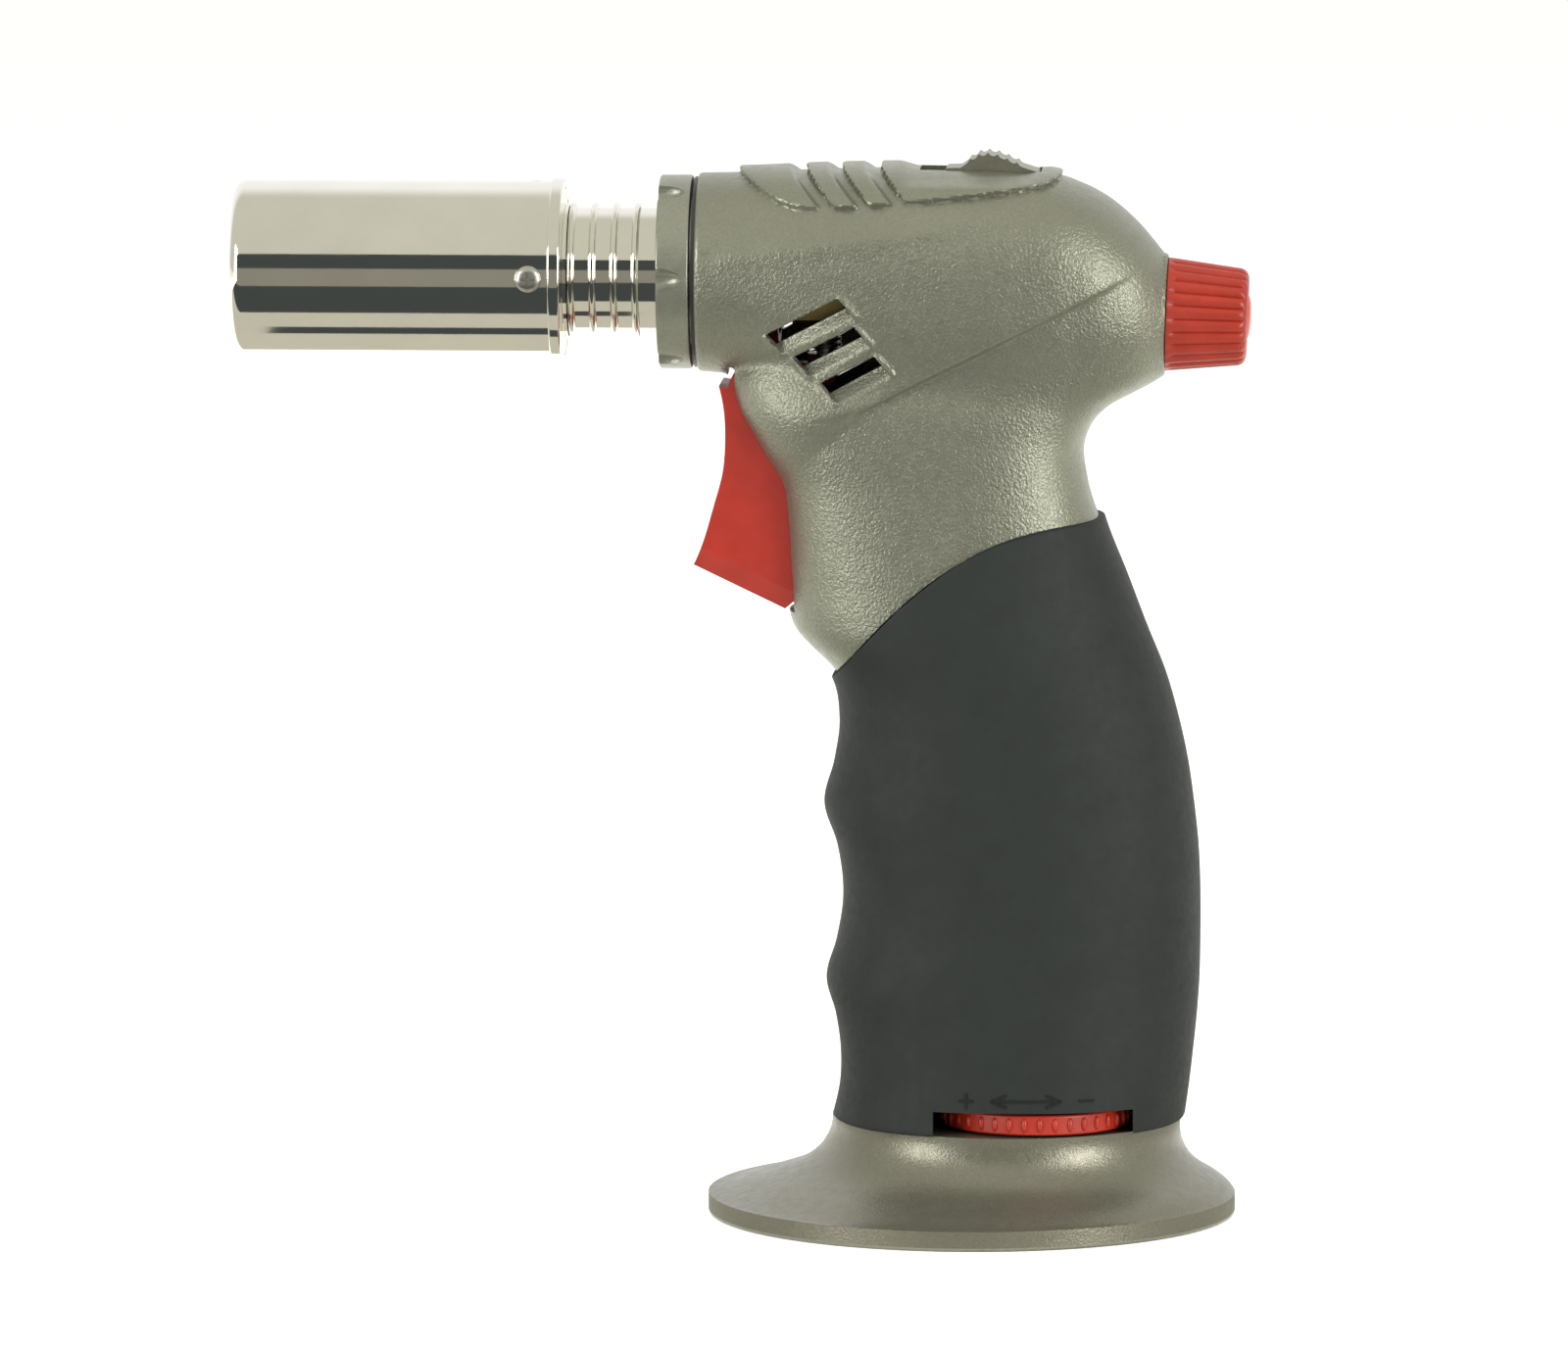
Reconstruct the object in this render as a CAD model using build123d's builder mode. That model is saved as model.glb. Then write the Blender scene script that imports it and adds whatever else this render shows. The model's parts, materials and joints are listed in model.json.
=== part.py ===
from build123d import *
import os
from math import cos, pi, radians, sin

# Hand-held butane torch for jewellery work: a pistol-shaped tool that stands on a round foot.
# Millimetres, +Z up. The origin is the centre of the foot's underside, -X is the way the flame
# leaves, +X is the end with the red knob, and the casing is split along the plane Y = 0.

# ---------------------------------------------------------------- driving dimensions

wall = 2.0  # moulded walls
gap = 0.3  # between parts that only need to miss each other
run = 0.05  # radial clearance of a turning or sliding fit
seat = 0.02  # radial clearance of a part that is pressed or glued in
reach = 60.0  # longer than any half of the torch, for cuts that go right through

# Foot. Each level gives the height, the front edge and the rear edge of the round flare.
foot_radius = 35.0
foot_rim = 2.7
foot_edge = 0.5
foot_height = 13.2
foot_axis = 4.7  # the flare's top stands behind the middle of the foot
foot_levels = [
    (foot_rim, -foot_radius, foot_radius),
    (3.7, -30.6, 34.2),
    (5.9, -24.1, 31.0),
    (8.7, -20.1, 28.4),
    (11.3, -18.7, 27.7),
    (foot_height, -18.5, 27.9),
]
roof_height = 11.3  # underside of the foot's roof
foot_boss_ring = 19.6
foot_boss_radius = 2.6
plate_thick = 1.6
plate_lift = 0.4  # the cover plate sits this far up inside the foot

# Handle: height, front edge, rear edge and half width of each level section. The front edge
# dips in for three fingers.
handle_levels = [
    (foot_height, -18.4, 28.3, 23.4),
    (17.5, -17.5, 28.9, 22.9),
    (22.0, -17.4, 29.4, 22.4),
    (27.0, -18.1, 29.9, 21.9),
    (31.6, -19.3, 30.2, 21.5),
    (36.5, -18.0, 30.3, 21.2),
    (42.5, -17.1, 30.3, 20.8),
    (49.5, -17.9, 30.0, 20.4),
    (55.0, -19.6, 29.4, 20.0),
    (60.5, -18.3, 28.6, 19.6),
    (66.0, -17.6, 27.4, 19.1),
    (72.0, -18.8, 25.7, 18.6),
    (78.5, -24.6, 23.1, 17.9),
    (85.0, -25.4, 20.6, 17.0),
    (92.0, -25.7, 17.8, 16.2),
    (98.0, -26.4, 16.1, 15.7),
    (103.0, -28.4, 15.8, 15.4),
    (108.0, -31.2, 18.3, 14.9),
    (112.5, -32.0, 23.0, 13.6),
    (116.0, -30.0, 22.5, 12.5),
]
# Squareness of the sections: 2 is an ellipse, more is squarer. It rises from the grip's value to
# the trigger's between two heights.
grip_power, trigger_power = 2.35, 3.0
grip_power_height, trigger_power_height = 80.0, 102.0
grip_high = 98.0  # the grip's part of the handle ends at or below this level
casing_low = 55.0  # the casing's part of the handle begins at or above this level

# Head: place along X, lower edge, upper edge, half width and squareness of each upright section.
burner_height = 125.2
head_front = -36.3
head_radius = 13.1
head_rear = 25.3
head_sections = [
    (-30.0, 111.6, 138.4, 13.7, 2.15),
    (-20.0, 109.5, 138.8, 14.9, 2.45),
    (-6.0, 107.5, 139.0, 15.8, 2.60),
    (6.0, 107.0, 138.5, 15.9, 2.60),
    (13.0, 107.6, 137.6, 15.1, 2.50),
    (18.0, 108.6, 135.2, 13.6, 2.35),
    (22.0, 110.2, 131.8, 11.2, 2.20),
]
knob_height = 119.9  # where the knob's axis leaves the head
knob_droop = 2.0  # degrees below level
knob_seat_radius = 8.0
nose_depth = 1.5  # length of the round front wall

# Line where the casing meets the grip, seen from the side
joint_line = [(-18.6, 71.8), (-9.3, 82.1), (1.8, 89.8), (10.0, 92.4), (17.8, 93.1)]
skirt_length = 5.0  # how far the casing goes down inside the grip
skirt_wall = 1.5
skirt_play = 0.15
skirt_lap = 0.5  # the casing's handle is this much thicker, so that the skirt joins it
skirt_root = 3.0  # how far the skirt goes up inside the casing

# Air slots in each side: lower front corner and length, and the rise of all three for each
# unit of run
vent_slots = [(-25.6, 116.7, 9.6), (-22.0, 113.7, 8.2), (-18.4, 110.3, 7.2)]
vent_height = 2.0
vent_rise = 0.53

# Lock slide on the roof
slide_front = -3.6
slide_length = 12.4
slide_half = 3.4
slide_height = 141.4
slide_travel = 3.0
slide_deck = 137.2  # floor of the recess it runs in
slide_stem_half = 1.4
slide_ridges = 6
slide_ridge_pitch = 1.4
clip_thick = 1.4

# Grip and fuel tank
tank_wall = 1.6
tank_low = 17.6
tank_floor = 2.4
tank_high = 79.0
lid_thick = 2.0
fill_x, fill_y = -6.5, 7.0
fill_radius = 4.0
fill_low = 3.0
fill_nozzle_radius = 2.2
fill_nozzle_depth = 3.0
fill_stem_radius = 0.9
fill_high = 24.0
fill_chamber = 2.0
tank_posts = [(-11.0, -6.0), (16.0, 11.0)]
post_radius = 2.6

# Flame regulator wheel at the foot of the grip
wheel_radius = 12.8
wheel_thick = 2.7
wheel_x = 8.8
wheel_inset = 0.5  # its rim stays this far inside the grip's surface
wheel_teeth = 38
wheel_slot = 3.3
needle_radius = 1.6
regulator_radius = 3.4
regulator_high = 32.0

# Trigger. Its outline is drawn about the pivot.
trigger_half = 6.0
pivot_x, pivot_z = -28.5, 110.0
trigger_eye = 3.6
pin_radius = 1.25
pin_hold = 2.5  # how far the pin goes into each half of the casing
pin_boss = 2.7
heel_x, heel_z = 9.0, 1.8
heel_radius = 1.5
nose_x, nose_z = 6.0, -18.0
nose_radius = 2.0
slot_low = 80.6
trigger_front = [
    (-4.8, 0.6),
    (-4.1, -3.0),
    (-4.0, -7.6),
    (-4.3, -10.8),
    (-5.4, -15.0),
    (-6.8, -19.8),
    (-8.2, -23.2),
]
trigger_toe = (3.9, -29.0)
trigger_shell = 1.8
trigger_round = 0.8
toe_bevel, toe_bevel_height = 1.2, 2.6

# Igniter
plunger_height = 93.0
plunger_radius = 3.2
plunger_out = 7.0
plunger_in = 3.0
plunger_travel = 4.4
igniter_length = 22.5
igniter_half = 4.5
igniter_rise = 10.0

# Valve block behind the jet
block_front = -23.6
block_length = 19.5
block_half = 6.0
block_low = 118.4
block_high = 130.0
stem_radius = 1.2
stem_foot = 2.4
pipe_end_x, pipe_end_y = -8.0, 3.0

# Burner
tube_radius = 11.9
tube_wall = 0.8
tube_front = -97.6
tube_lip = 1.6  # radius of the rolled lip at the mouth
ring_rear = -54.0
ring_length = 1.6
ring_radius = 12.3
neck_radius = 9.1
neck_rear = -41.3
neck_groove = 0.6
neck_fins = 4
neck_pitch = 2.83
neck_fin = 1.1
neck_stub = 0.9
spigot_length = 7.0
tube_screw_x = -58.1
screw_head = 1.75
tail_length = 5.3
mix_radius = 4.2
mix_wall = 0.8
mix_front = -70.0
holder_thick = 2.0
holder_ports = 8
port_radius = 1.9
lead_offset = 6.3  # the electrode is this far above the burner's axis
lead_radius = 1.2
electrode_radius = 0.5
jet_radius = 2.2
jet_seat = 2.4  # how far the jet goes into the valve block

# Air collar on the nose, and the bush that it turns on
collar_rear = -37.0
collar_radius = 12.8
collar_notches = 6
notch_radius = 1.5
notch_length = 1.6
washer_thick = 0.4
bush_radius = 9.3
bush_wall = 1.1
bush_rear = -25.5
shutter_wall = 0.85
collar_play = 0.05  # end clearance between the collar and the neck
shutter_rear = -28.0
shutter_rim = 10.8
air_ports = 4
port_length = 3.0
port_width = 5.0
port_x = -31.3

# Knob
knob_gap = 0.35
knob_length = 10.7
knob_radius = 7.5
knob_tip_radius = 6.35
knob_flutes = 24
flute_radius = 0.55
cap_radius = 3.2
knob_stem_length = 35.0
knob_bush_radius = 3.2

# Casing screws: place along X and height
casing_screw_places = [(5.0, 128.5), (14.5, 109.5), (-9.0, 104.5)]
screw_radius = 1.0
boss_radius = 2.7
screw_seat = 6.0
screw_head_thick = 1.6
screw_head_radius = 2.0

# Springs and wires
spring_wire = 0.4
pipe_radius = 1.1
pipe_x, pipe_y = -1.0, 8.0
cable_radius = 1.0


# ---------------------------------------------------------------- shared forms


def oval(half_length, half_width, power, count=12):
    """Points round a closed curve that is an ellipse at power 2 and squarer above it."""
    points = []
    for i in range(count):
        angle = 2 * pi * i / count
        c, s = abs(cos(angle)), abs(sin(angle))
        r = ((c / half_length) ** power + (s / half_width) ** power) ** (-1 / power)
        points.append((r * cos(angle), r * sin(angle)))
    return points


stem_x = pivot_x + heel_x


def handle_power(height):
    """Squareness of the handle's section at a height."""
    share = (height - grip_power_height) / (trigger_power_height - grip_power_height)
    return grip_power + (trigger_power - grip_power) * min(max(share, 0), 1)


def handle_form(inset, low, high):
    """The solid outside shape of the handle, made smaller by inset, between two levels."""
    with BuildPart() as form:
        for height, front, rear, half_width in [row for row in handle_levels if low <= row[0] <= high]:
            middle = (front + rear) / 2
            curve = oval((rear - front) / 2 - inset, half_width - inset, handle_power(height))
            with BuildSketch(Plane.XY.offset(height)):
                with BuildLine():
                    Spline([(middle + x, y) for x, y in curve], periodic=True)
                make_face()
        loft()
    return form.part


def head_form(inset=0.0):
    """The solid outside shape of the head, made smaller by inset. A smaller one stops at the
    last section, so a wall is left behind it."""
    stations = [(head_front, burner_height - head_radius, burner_height + head_radius, head_radius, 2.0)]
    stations += head_sections
    if inset < wall:
        low, high = knob_height - knob_seat_radius, knob_height + knob_seat_radius
        stations.append((head_rear, low, high, knob_seat_radius, 2.0))
    with BuildPart() as form:
        for x, low, high, half_width, power in stations:
            middle = (low + high) / 2
            curve = oval(half_width - inset, (high - low) / 2 - inset, power)
            with BuildSketch(Plane.YZ.offset(x)):
                with BuildLine():
                    Spline([(y, middle + z) for y, z in curve], periodic=True)
                make_face()
        loft()
    return form.part


def side_region(outline, curved=0):
    """Everything inside an outline drawn on the side, all the way across. The first few points
    may be joined by a smooth curve."""
    with BuildPart() as region:
        with BuildSketch(Plane.XZ):
            with BuildLine():
                if curved:
                    Spline(outline[:curved])
                    Polyline(outline[curved - 1 :] + outline[:1])
                else:
                    Polyline(outline, close=True)
            make_face()
        extrude(amount=reach, both=True)
    return region.part


def above_joint(drop=0.0):
    """Everything above the line where the casing meets the grip, moved down by drop."""
    line = [(x, z - drop) for x, z in joint_line]
    frame_points = [(reach, line[-1][1]), (reach, 3 * reach), (-reach, 3 * reach), (-reach, line[0][1])]
    return side_region(line + frame_points, curved=len(line))


def slab(x0, x1, y0, y1, z0, z1):
    """A plain block between two corners."""
    with BuildPart() as block:
        with BuildSketch(Plane.XY.offset(z0)):
            with Locations(((x0 + x1) / 2, (y0 + y1) / 2)):
                Rectangle(x1 - x0, y1 - y0)
        extrude(amount=z1 - z0)
    return block.part


def rod(start, direction, length, radius, inner=0.0):
    """A round bar or tube from a point in a direction."""
    with BuildPart() as bar:
        with BuildSketch(Plane(start, z_dir=direction)):
            Circle(radius)
            if inner:
                Circle(inner, mode=Mode.SUBTRACT)
        extrude(amount=length)
    return bar.part


def turned(profile, height=burner_height):
    """A part turned about a line along X. The profile lists (x, radius) points."""
    with BuildPart() as part:
        with BuildSketch(Plane.XZ):
            with BuildLine():
                Polyline([(x, height + r) for x, r in profile], close=True)
            make_face()
        revolve(axis=Axis((0, 0, height), (1, 0, 0)))
    return part.part


def coil(start, direction, length, radius, turns, wire=spring_wire):
    """A coil spring about a line, with plain open ends."""
    with BuildPart() as spring:
        with BuildLine(Plane(start, z_dir=direction)):
            helix = Helix(pitch=length / turns, height=length, radius=radius)
        with BuildSketch(Plane(helix @ 0, z_dir=helix % 0)):
            Circle(wire)
        sweep(path=helix)
    return spring.part


def pipe(points, radius, radii):
    """A round pipe along straight runs joined by arcs."""
    with BuildPart() as tube:
        with BuildLine():
            line = FilletPolyline(*points, radius=radii)
        with BuildSketch(Plane(line @ 0, z_dir=line % 0)):
            Circle(radius)
        sweep(path=line)
    return tube.part


def save(part, name):
    """Names a finished piece and writes it."""
    part.label = name
    export_step(part, f"parts/{name}.step")


os.makedirs("parts", exist_ok=True)
tilt = radians(knob_droop)
knob_way = Vector(cos(tilt), 0, -sin(tilt))
knob_origin = Vector(head_rear, 0, knob_height)

# ---------------------------------------------------------------- foot


def foot_form(inset, levels):
    """The flared upper part of the foot, made smaller by inset."""
    with BuildPart() as form:
        for height, front, rear in levels:
            with BuildSketch(Plane.XY.offset(height)):
                with Locations(((front + rear) / 2, 0)):
                    Circle((rear - front) / 2 - inset)
        loft()
    return form.part


wheel_y = wheel_inset + wheel_radius - handle_levels[0][3]
plate_top = plate_lift + plate_thick

with BuildPart() as foot_shell:
    with BuildSketch():
        Circle(foot_radius)
    extrude(amount=foot_rim)
    fillet(foot_shell.edges().group_by(Axis.Z)[0], foot_edge)
    add(foot_form(0, foot_levels))
    add(foot_form(wall, foot_levels[:-1]), mode=Mode.SUBTRACT)
    with BuildSketch():
        Circle(foot_radius - wall)
    extrude(amount=foot_rim, mode=Mode.SUBTRACT)
    with BuildSketch(Plane.XY.offset(plate_top)):
        with Locations((foot_axis, 0)):
            with PolarLocations(foot_boss_ring, 3, start_angle=60):
                Circle(foot_boss_radius)
    extrude(amount=roof_height - plate_top)
    with BuildSketch(Plane.XY.offset(plate_top)):
        with Locations((foot_axis, 0)):
            with PolarLocations(foot_boss_ring, 3, start_angle=60):
                Circle(screw_radius + seat)
    extrude(amount=roof_height - plate_top - wall, mode=Mode.SUBTRACT)
    with BuildSketch(Plane.XY.offset(foot_height)):
        with Locations((fill_x, fill_y)):
            Circle(fill_radius + seat)
        with Locations((wheel_x, wheel_y)):
            Circle(needle_radius + run)
        with Locations(*tank_posts):
            Circle(screw_radius + seat)
    extrude(amount=roof_height - foot_height - gap, mode=Mode.SUBTRACT)
save(foot_shell.part, "foot_shell")

with BuildPart() as foot_plate:
    with BuildSketch(Plane.XY.offset(plate_lift)):
        Circle(foot_radius - wall - gap)
        with Locations((fill_x, fill_y)):
            Circle(fill_radius + wall, mode=Mode.SUBTRACT)
        with Locations((foot_axis, 0)):
            with PolarLocations(foot_boss_ring, 3, start_angle=60):
                Circle(screw_radius + gap, mode=Mode.SUBTRACT)
    extrude(amount=plate_thick)
    with Locations((foot_axis, 0, plate_lift)):
        with PolarLocations(foot_boss_ring, 3, start_angle=60):
            Cylinder(
                screw_head_radius + gap,
                plate_thick - 0.8,
                align=(Align.CENTER, Align.CENTER, Align.MIN),
                mode=Mode.SUBTRACT,
            )
save(foot_plate.part, "foot_plate")

with BuildPart() as foot_screws:
    with Locations((foot_axis, 0, plate_lift + 0.1)):
        with PolarLocations(foot_boss_ring, 3, start_angle=60):
            Cylinder(screw_head_radius, plate_thick - 0.9, align=(Align.CENTER, Align.CENTER, Align.MIN))
            Cylinder(screw_radius, 7.5, align=(Align.CENTER, Align.CENTER, Align.MIN))
            Box(2.4, 0.5, 0.4, align=(Align.CENTER, Align.CENTER, Align.MIN), mode=Mode.SUBTRACT)
            Box(0.5, 2.4, 0.4, align=(Align.CENTER, Align.CENTER, Align.MIN), mode=Mode.SUBTRACT)
save(foot_screws.part, "foot_screws")

# ---------------------------------------------------------------- grip, tank and fill valve

core_inset = wall + skirt_wall + gap
joint_above = above_joint()

with BuildPart() as grip_shell:
    add(handle_form(0, foot_height, grip_high))
    add([joint_above, handle_form(wall, foot_height, grip_high)], mode=Mode.SUBTRACT)
    with BuildSketch(Plane.XY.offset(foot_height)):
        with Locations((wheel_x, wheel_y)):
            Rectangle(2 * wheel_radius + 2 * gap, 2 * reach, align=(Align.CENTER, Align.MAX))
    extrude(amount=wheel_slot, mode=Mode.SUBTRACT)
save(grip_shell.part, "grip_shell")


tank_void_low = tank_low + tank_floor

tank_void_low = tank_low + tank_floor
with BuildPart() as tank_void:
    add(handle_form(core_inset + tank_wall, foot_height, casing_low + 30))
    add(slab(-reach, reach, -reach, reach, tank_void_low, tank_high - lid_thick), mode=Mode.INTERSECT)

with BuildPart() as fuel_tank:
    add(handle_form(core_inset, foot_height, casing_low + 30))
    add(slab(-reach, reach, -reach, reach, tank_low, tank_high - lid_thick), mode=Mode.INTERSECT)
    with BuildSketch(Plane.XY.offset(foot_height)):
        with Locations(*tank_posts):
            Circle(post_radius)
    extrude(amount=tank_void_low - foot_height)
    add(tank_void.part, mode=Mode.SUBTRACT)
    with BuildSketch(Plane.XY.offset(foot_height)):
        with Locations(*tank_posts):
            Circle(screw_radius + seat)
    extrude(amount=tank_low - foot_height + 1, mode=Mode.SUBTRACT)
    with BuildSketch(Plane.XY.offset(tank_low)):
        with Locations((fill_x, fill_y)):
            Circle(fill_radius + seat)
        with Locations((wheel_x, wheel_y)):
            Circle(regulator_radius + seat)
    extrude(amount=tank_floor + wall, mode=Mode.SUBTRACT)
save(fuel_tank.part, "fuel_tank")

with BuildPart() as tank_lid:
    add(handle_form(core_inset, foot_height, casing_low + 30))
    add(slab(-reach, reach, -reach, reach, tank_high - lid_thick, tank_high), mode=Mode.INTERSECT)
    with Locations((pipe_x, pipe_y, tank_high)):
        Cylinder(pipe_radius + wall, wall, align=(Align.CENTER, Align.CENTER, Align.MIN))
        Cylinder(pipe_radius + seat, 3 * wall, mode=Mode.SUBTRACT)
save(tank_lid.part, "tank_lid")

with BuildPart() as tank_screws:
    with BuildSketch(Plane.XY.offset(roof_height - screw_head_thick - gap)):
        with Locations(*tank_posts):
            Circle(screw_head_radius)
    extrude(amount=screw_head_thick)
    with BuildSketch(Plane.XY.offset(roof_height - screw_head_thick)):
        with Locations(*tank_posts):
            Circle(screw_radius)
    extrude(amount=tank_low - roof_height + screw_head_thick + 0.7)
save(tank_screws.part, "tank_screws")

with BuildPart() as fill_valve:
    add(rod((fill_x, fill_y, fill_low), (0, 0, 1), fill_high - fill_low, fill_radius))
    add(rod((fill_x, fill_y, fill_low), (0, 0, 1), fill_nozzle_depth, fill_nozzle_radius), mode=Mode.SUBTRACT)
    add(rod((fill_x, fill_y, fill_low), (0, 0, 1), 12, fill_stem_radius + run), mode=Mode.SUBTRACT)
    add(rod((fill_x, fill_y, fill_low + 7), (0, 0, 1), 10.5, fill_chamber), mode=Mode.SUBTRACT)
save(fill_valve.part, "fill_valve")

with BuildPart() as fill_stem:
    tip = fill_low + fill_nozzle_depth + 2 * run
    add(rod((fill_x, fill_y, tip), (0, 0, 1), fill_low + 9 - tip, fill_stem_radius))
    add(rod((fill_x, fill_y, fill_low + 7 + gap), (0, 0, 1), 1.2, fill_chamber - gap))
save(fill_stem.part, "fill_stem")

fill_spring_low = fill_low + 7 + gap + 1.2
with BuildPart() as fill_spring:
    add(coil((fill_x, fill_y, fill_spring_low + 0.5), (0, 0, 1), fill_low + 17 - fill_spring_low - 0.8, 1.5, 5, 0.2))
save(fill_spring.part, "fill_spring")

with BuildPart() as fill_seal:
    with BuildSketch(Plane.XZ):
        with Locations((fill_radius + fill_x + 0.8, tank_low - 0.8)):
            Circle(0.75)
    revolve(axis=Axis((fill_x, 0, 0), (0, 0, 1)))
fill_ring = fill_seal.part.moved(Location((0, fill_y, 0)))
save(fill_ring, "fill_seal")

# ---------------------------------------------------------------- flame regulator

with BuildPart() as gas_wheel:
    with BuildSketch(Plane.XY.offset(foot_height + gap)):
        with Locations((wheel_x, wheel_y)):
            Circle(wheel_radius - 0.35)
            with PolarLocations(wheel_radius - 0.35, wheel_teeth):
                Ellipse(0.35, 0.65)
            Circle(needle_radius + seat, mode=Mode.SUBTRACT)
    extrude(amount=wheel_thick)
save(gas_wheel.part, "gas_wheel")

with BuildPart() as regulator_body:
    add(rod((wheel_x, wheel_y, tank_low - 0.6), (0, 0, 1), regulator_high - tank_low + 0.6, regulator_radius))
    add(rod((wheel_x, wheel_y, 0), (0, 0, 1), regulator_high - 2, needle_radius + run), mode=Mode.SUBTRACT)
    add(rod((wheel_x, wheel_y, 0), (0, 0, 1), reach, 0.6), mode=Mode.SUBTRACT)
save(regulator_body.part, "regulator_body")

with BuildPart() as regulator_needle:
    add(rod((wheel_x, wheel_y, roof_height + wall / 4), (0, 0, 1), regulator_high - 5 - roof_height, needle_radius))
    chamfer(regulator_needle.edges().group_by(Axis.Z)[-1], 0.8)
save(regulator_needle.part, "regulator_needle")

# ---------------------------------------------------------------- casing

slot_half = trigger_half + gap
stem_front = slide_front + slide_length / 3
stem_rear = slide_front + slide_length * 2 / 3


def vent_region(x, z, length):
    """An air slot, cut through both sides."""
    rise = length * vent_rise
    return side_region([(x, z), (x + length, z + rise), (x + length, z + rise + vent_height), (x, z + vent_height)])


shutter_radius = bush_radius + run + shutter_wall
port_reach = shutter_radius + gap
pin_reach = slot_half + pin_hold
with BuildPart() as casing_outside:
    add(handle_form(0, casing_low, reach * 2))
    add(joint_above, mode=Mode.INTERSECT)
    add(head_form())

# The hollow keeps a round wall at the nose, open for the air shutter.
with BuildPart() as casing_hollow:
    add(head_form(wall))
    add(slab(-reach, head_front + nose_depth, -reach, reach, 0, 3 * reach), mode=Mode.SUBTRACT)
    add(handle_form(wall + skirt_lap, casing_low, reach * 2))
    add(rod((head_front - 1, 0, burner_height), (1, 0, 0), nose_depth + 2, port_reach))

# Inside walls and posts: a bulkhead that holds the air bush, and the posts for the screws.
with BuildPart() as casing_ribs:
    add(slab(bush_rear - wall, bush_rear, -reach, reach, block_low - 3, 3 * reach))
    add(rod((bush_rear - 2 * wall, 0, burner_height), (1, 0, 0), 3 * wall, bush_radius + seat), mode=Mode.SUBTRACT)
    for x, z in casing_screw_places:
        add(rod((x, -reach, z), (0, 1, 0), 2 * reach, boss_radius))
    for way in (-1, 1):
        add(rod((pivot_x, way * slot_half, pivot_z), (0, way, 0), pin_hold, pin_boss))
    add(casing_outside.part, mode=Mode.INTERSECT)

with BuildPart() as skirt:
    add(handle_form(wall + skirt_play, casing_low, reach * 2))
    add(above_joint(skirt_length), mode=Mode.INTERSECT)
    add(above_joint(-skirt_root), mode=Mode.SUBTRACT)
    add(handle_form(wall + skirt_wall, casing_low, reach * 2), mode=Mode.SUBTRACT)

cuts = [
    # slot for the trigger, which goes up inside the head behind the nose
    slab(-reach, -18, -slot_half, slot_half, slot_low, pivot_z + 1.2),
    slab(pivot_x - 3.9, -18.5, -slot_half, slot_half, pivot_z, pivot_z + 4.2),
    # recess and slot for the lock slide
    slab(
        slide_front - slide_travel - gap, slide_front + slide_length + gap,
        -slide_half - gap, slide_half + gap,
        slide_deck, 3 * reach,
    ),
    slab(
        stem_front - slide_travel - gap, stem_rear + gap,
        -slide_stem_half - gap, slide_stem_half + gap,
        block_high, slide_deck + 1,
    ),
    rod((pivot_x, -pin_reach, pivot_z), (0, 1, 0), 2 * pin_reach, pin_radius + seat),
    rod(knob_origin - 10 * knob_way, knob_way, 12, knob_bush_radius + seat),
]
for x, z, length in vent_slots:
    cuts.append(vent_region(x, z, length))
for x, z in casing_screw_places:
    cuts.append(rod((x, screw_seat, z), (0, 1, 0), reach, screw_head_radius + gap))
    cuts.append(rod((x, -0.5, z), (0, 1, 0), reach, screw_radius + gap / 2))
    cuts.append(rod((x, 0, z), (0, -1, 0), screw_seat + 1, screw_radius + seat))

with BuildPart() as casing:
    add(casing_outside.part)
    add(casing_hollow.part, mode=Mode.SUBTRACT)
    add([casing_ribs.part, skirt.part])
    add(cuts, mode=Mode.SUBTRACT)

with BuildPart() as casing_left:
    add(casing.part)
    split(bisect_by=Plane.XZ, keep=Keep.TOP)
with BuildPart() as casing_right:
    add(casing.part)
    split(bisect_by=Plane.XZ, keep=Keep.BOTTOM)
save(casing_left.part, "casing_left")
save(casing_right.part, "casing_right")

with BuildPart() as casing_screws:
    for x, z in casing_screw_places:
        add(rod((x, screw_seat, z), (0, 1, 0), screw_head_thick, screw_head_radius))
        add(rod((x, -screw_seat, z), (0, 1, 0), 2 * screw_seat, screw_radius))
        for width, depth in ((2.6, 0.5), (0.5, 2.6)):
            top = screw_seat + screw_head_thick
            add(
                slab(x - width / 2, x + width / 2, top - 0.7, top + 1, z - depth / 2, z + depth / 2),
                mode=Mode.SUBTRACT,
            )
save(casing_screws.part, "casing_screws")

# ---------------------------------------------------------------- burner

tube_bore = tube_radius - tube_wall
ring_front = ring_rear - ring_length
lip_angles = [radians(turn) for turn in (0, 18, 36, 54, 72, 90)]


def lip_point(angle, radius):
    """A point of the rolled lip, from straight out at 0 to straight ahead at a quarter turn."""
    return (tube_front + tube_lip - radius * sin(angle), tube_radius - tube_lip + radius * cos(angle))


tube_profile = [(ring_rear, tube_bore), (ring_rear, tube_radius)]
tube_profile += [lip_point(angle, tube_lip) for angle in lip_angles]
tube_profile += [lip_point(angle, tube_lip - tube_wall) for angle in reversed(lip_angles)]
screw_angles = [-90, 30, 150]  # about the burner's axis, -90 is straight out of the -Y side


def around(angle):
    """A unit direction square to the burner's axis; 0 is up and -90 is -Y."""
    return Vector(0, sin(radians(angle)), cos(radians(angle)))


def on_burner(x, angle, radius):
    """A point at a distance from the burner's axis."""
    return Vector(x, 0, burner_height) + around(angle) * radius


with BuildPart() as flame_tube:
    add(turned(tube_profile))
    for angle in screw_angles:
        add(rod(on_burner(tube_screw_x, angle, 0), around(angle), reach, screw_radius + seat), mode=Mode.SUBTRACT)
save(flame_tube.part, "flame_tube")

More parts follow.
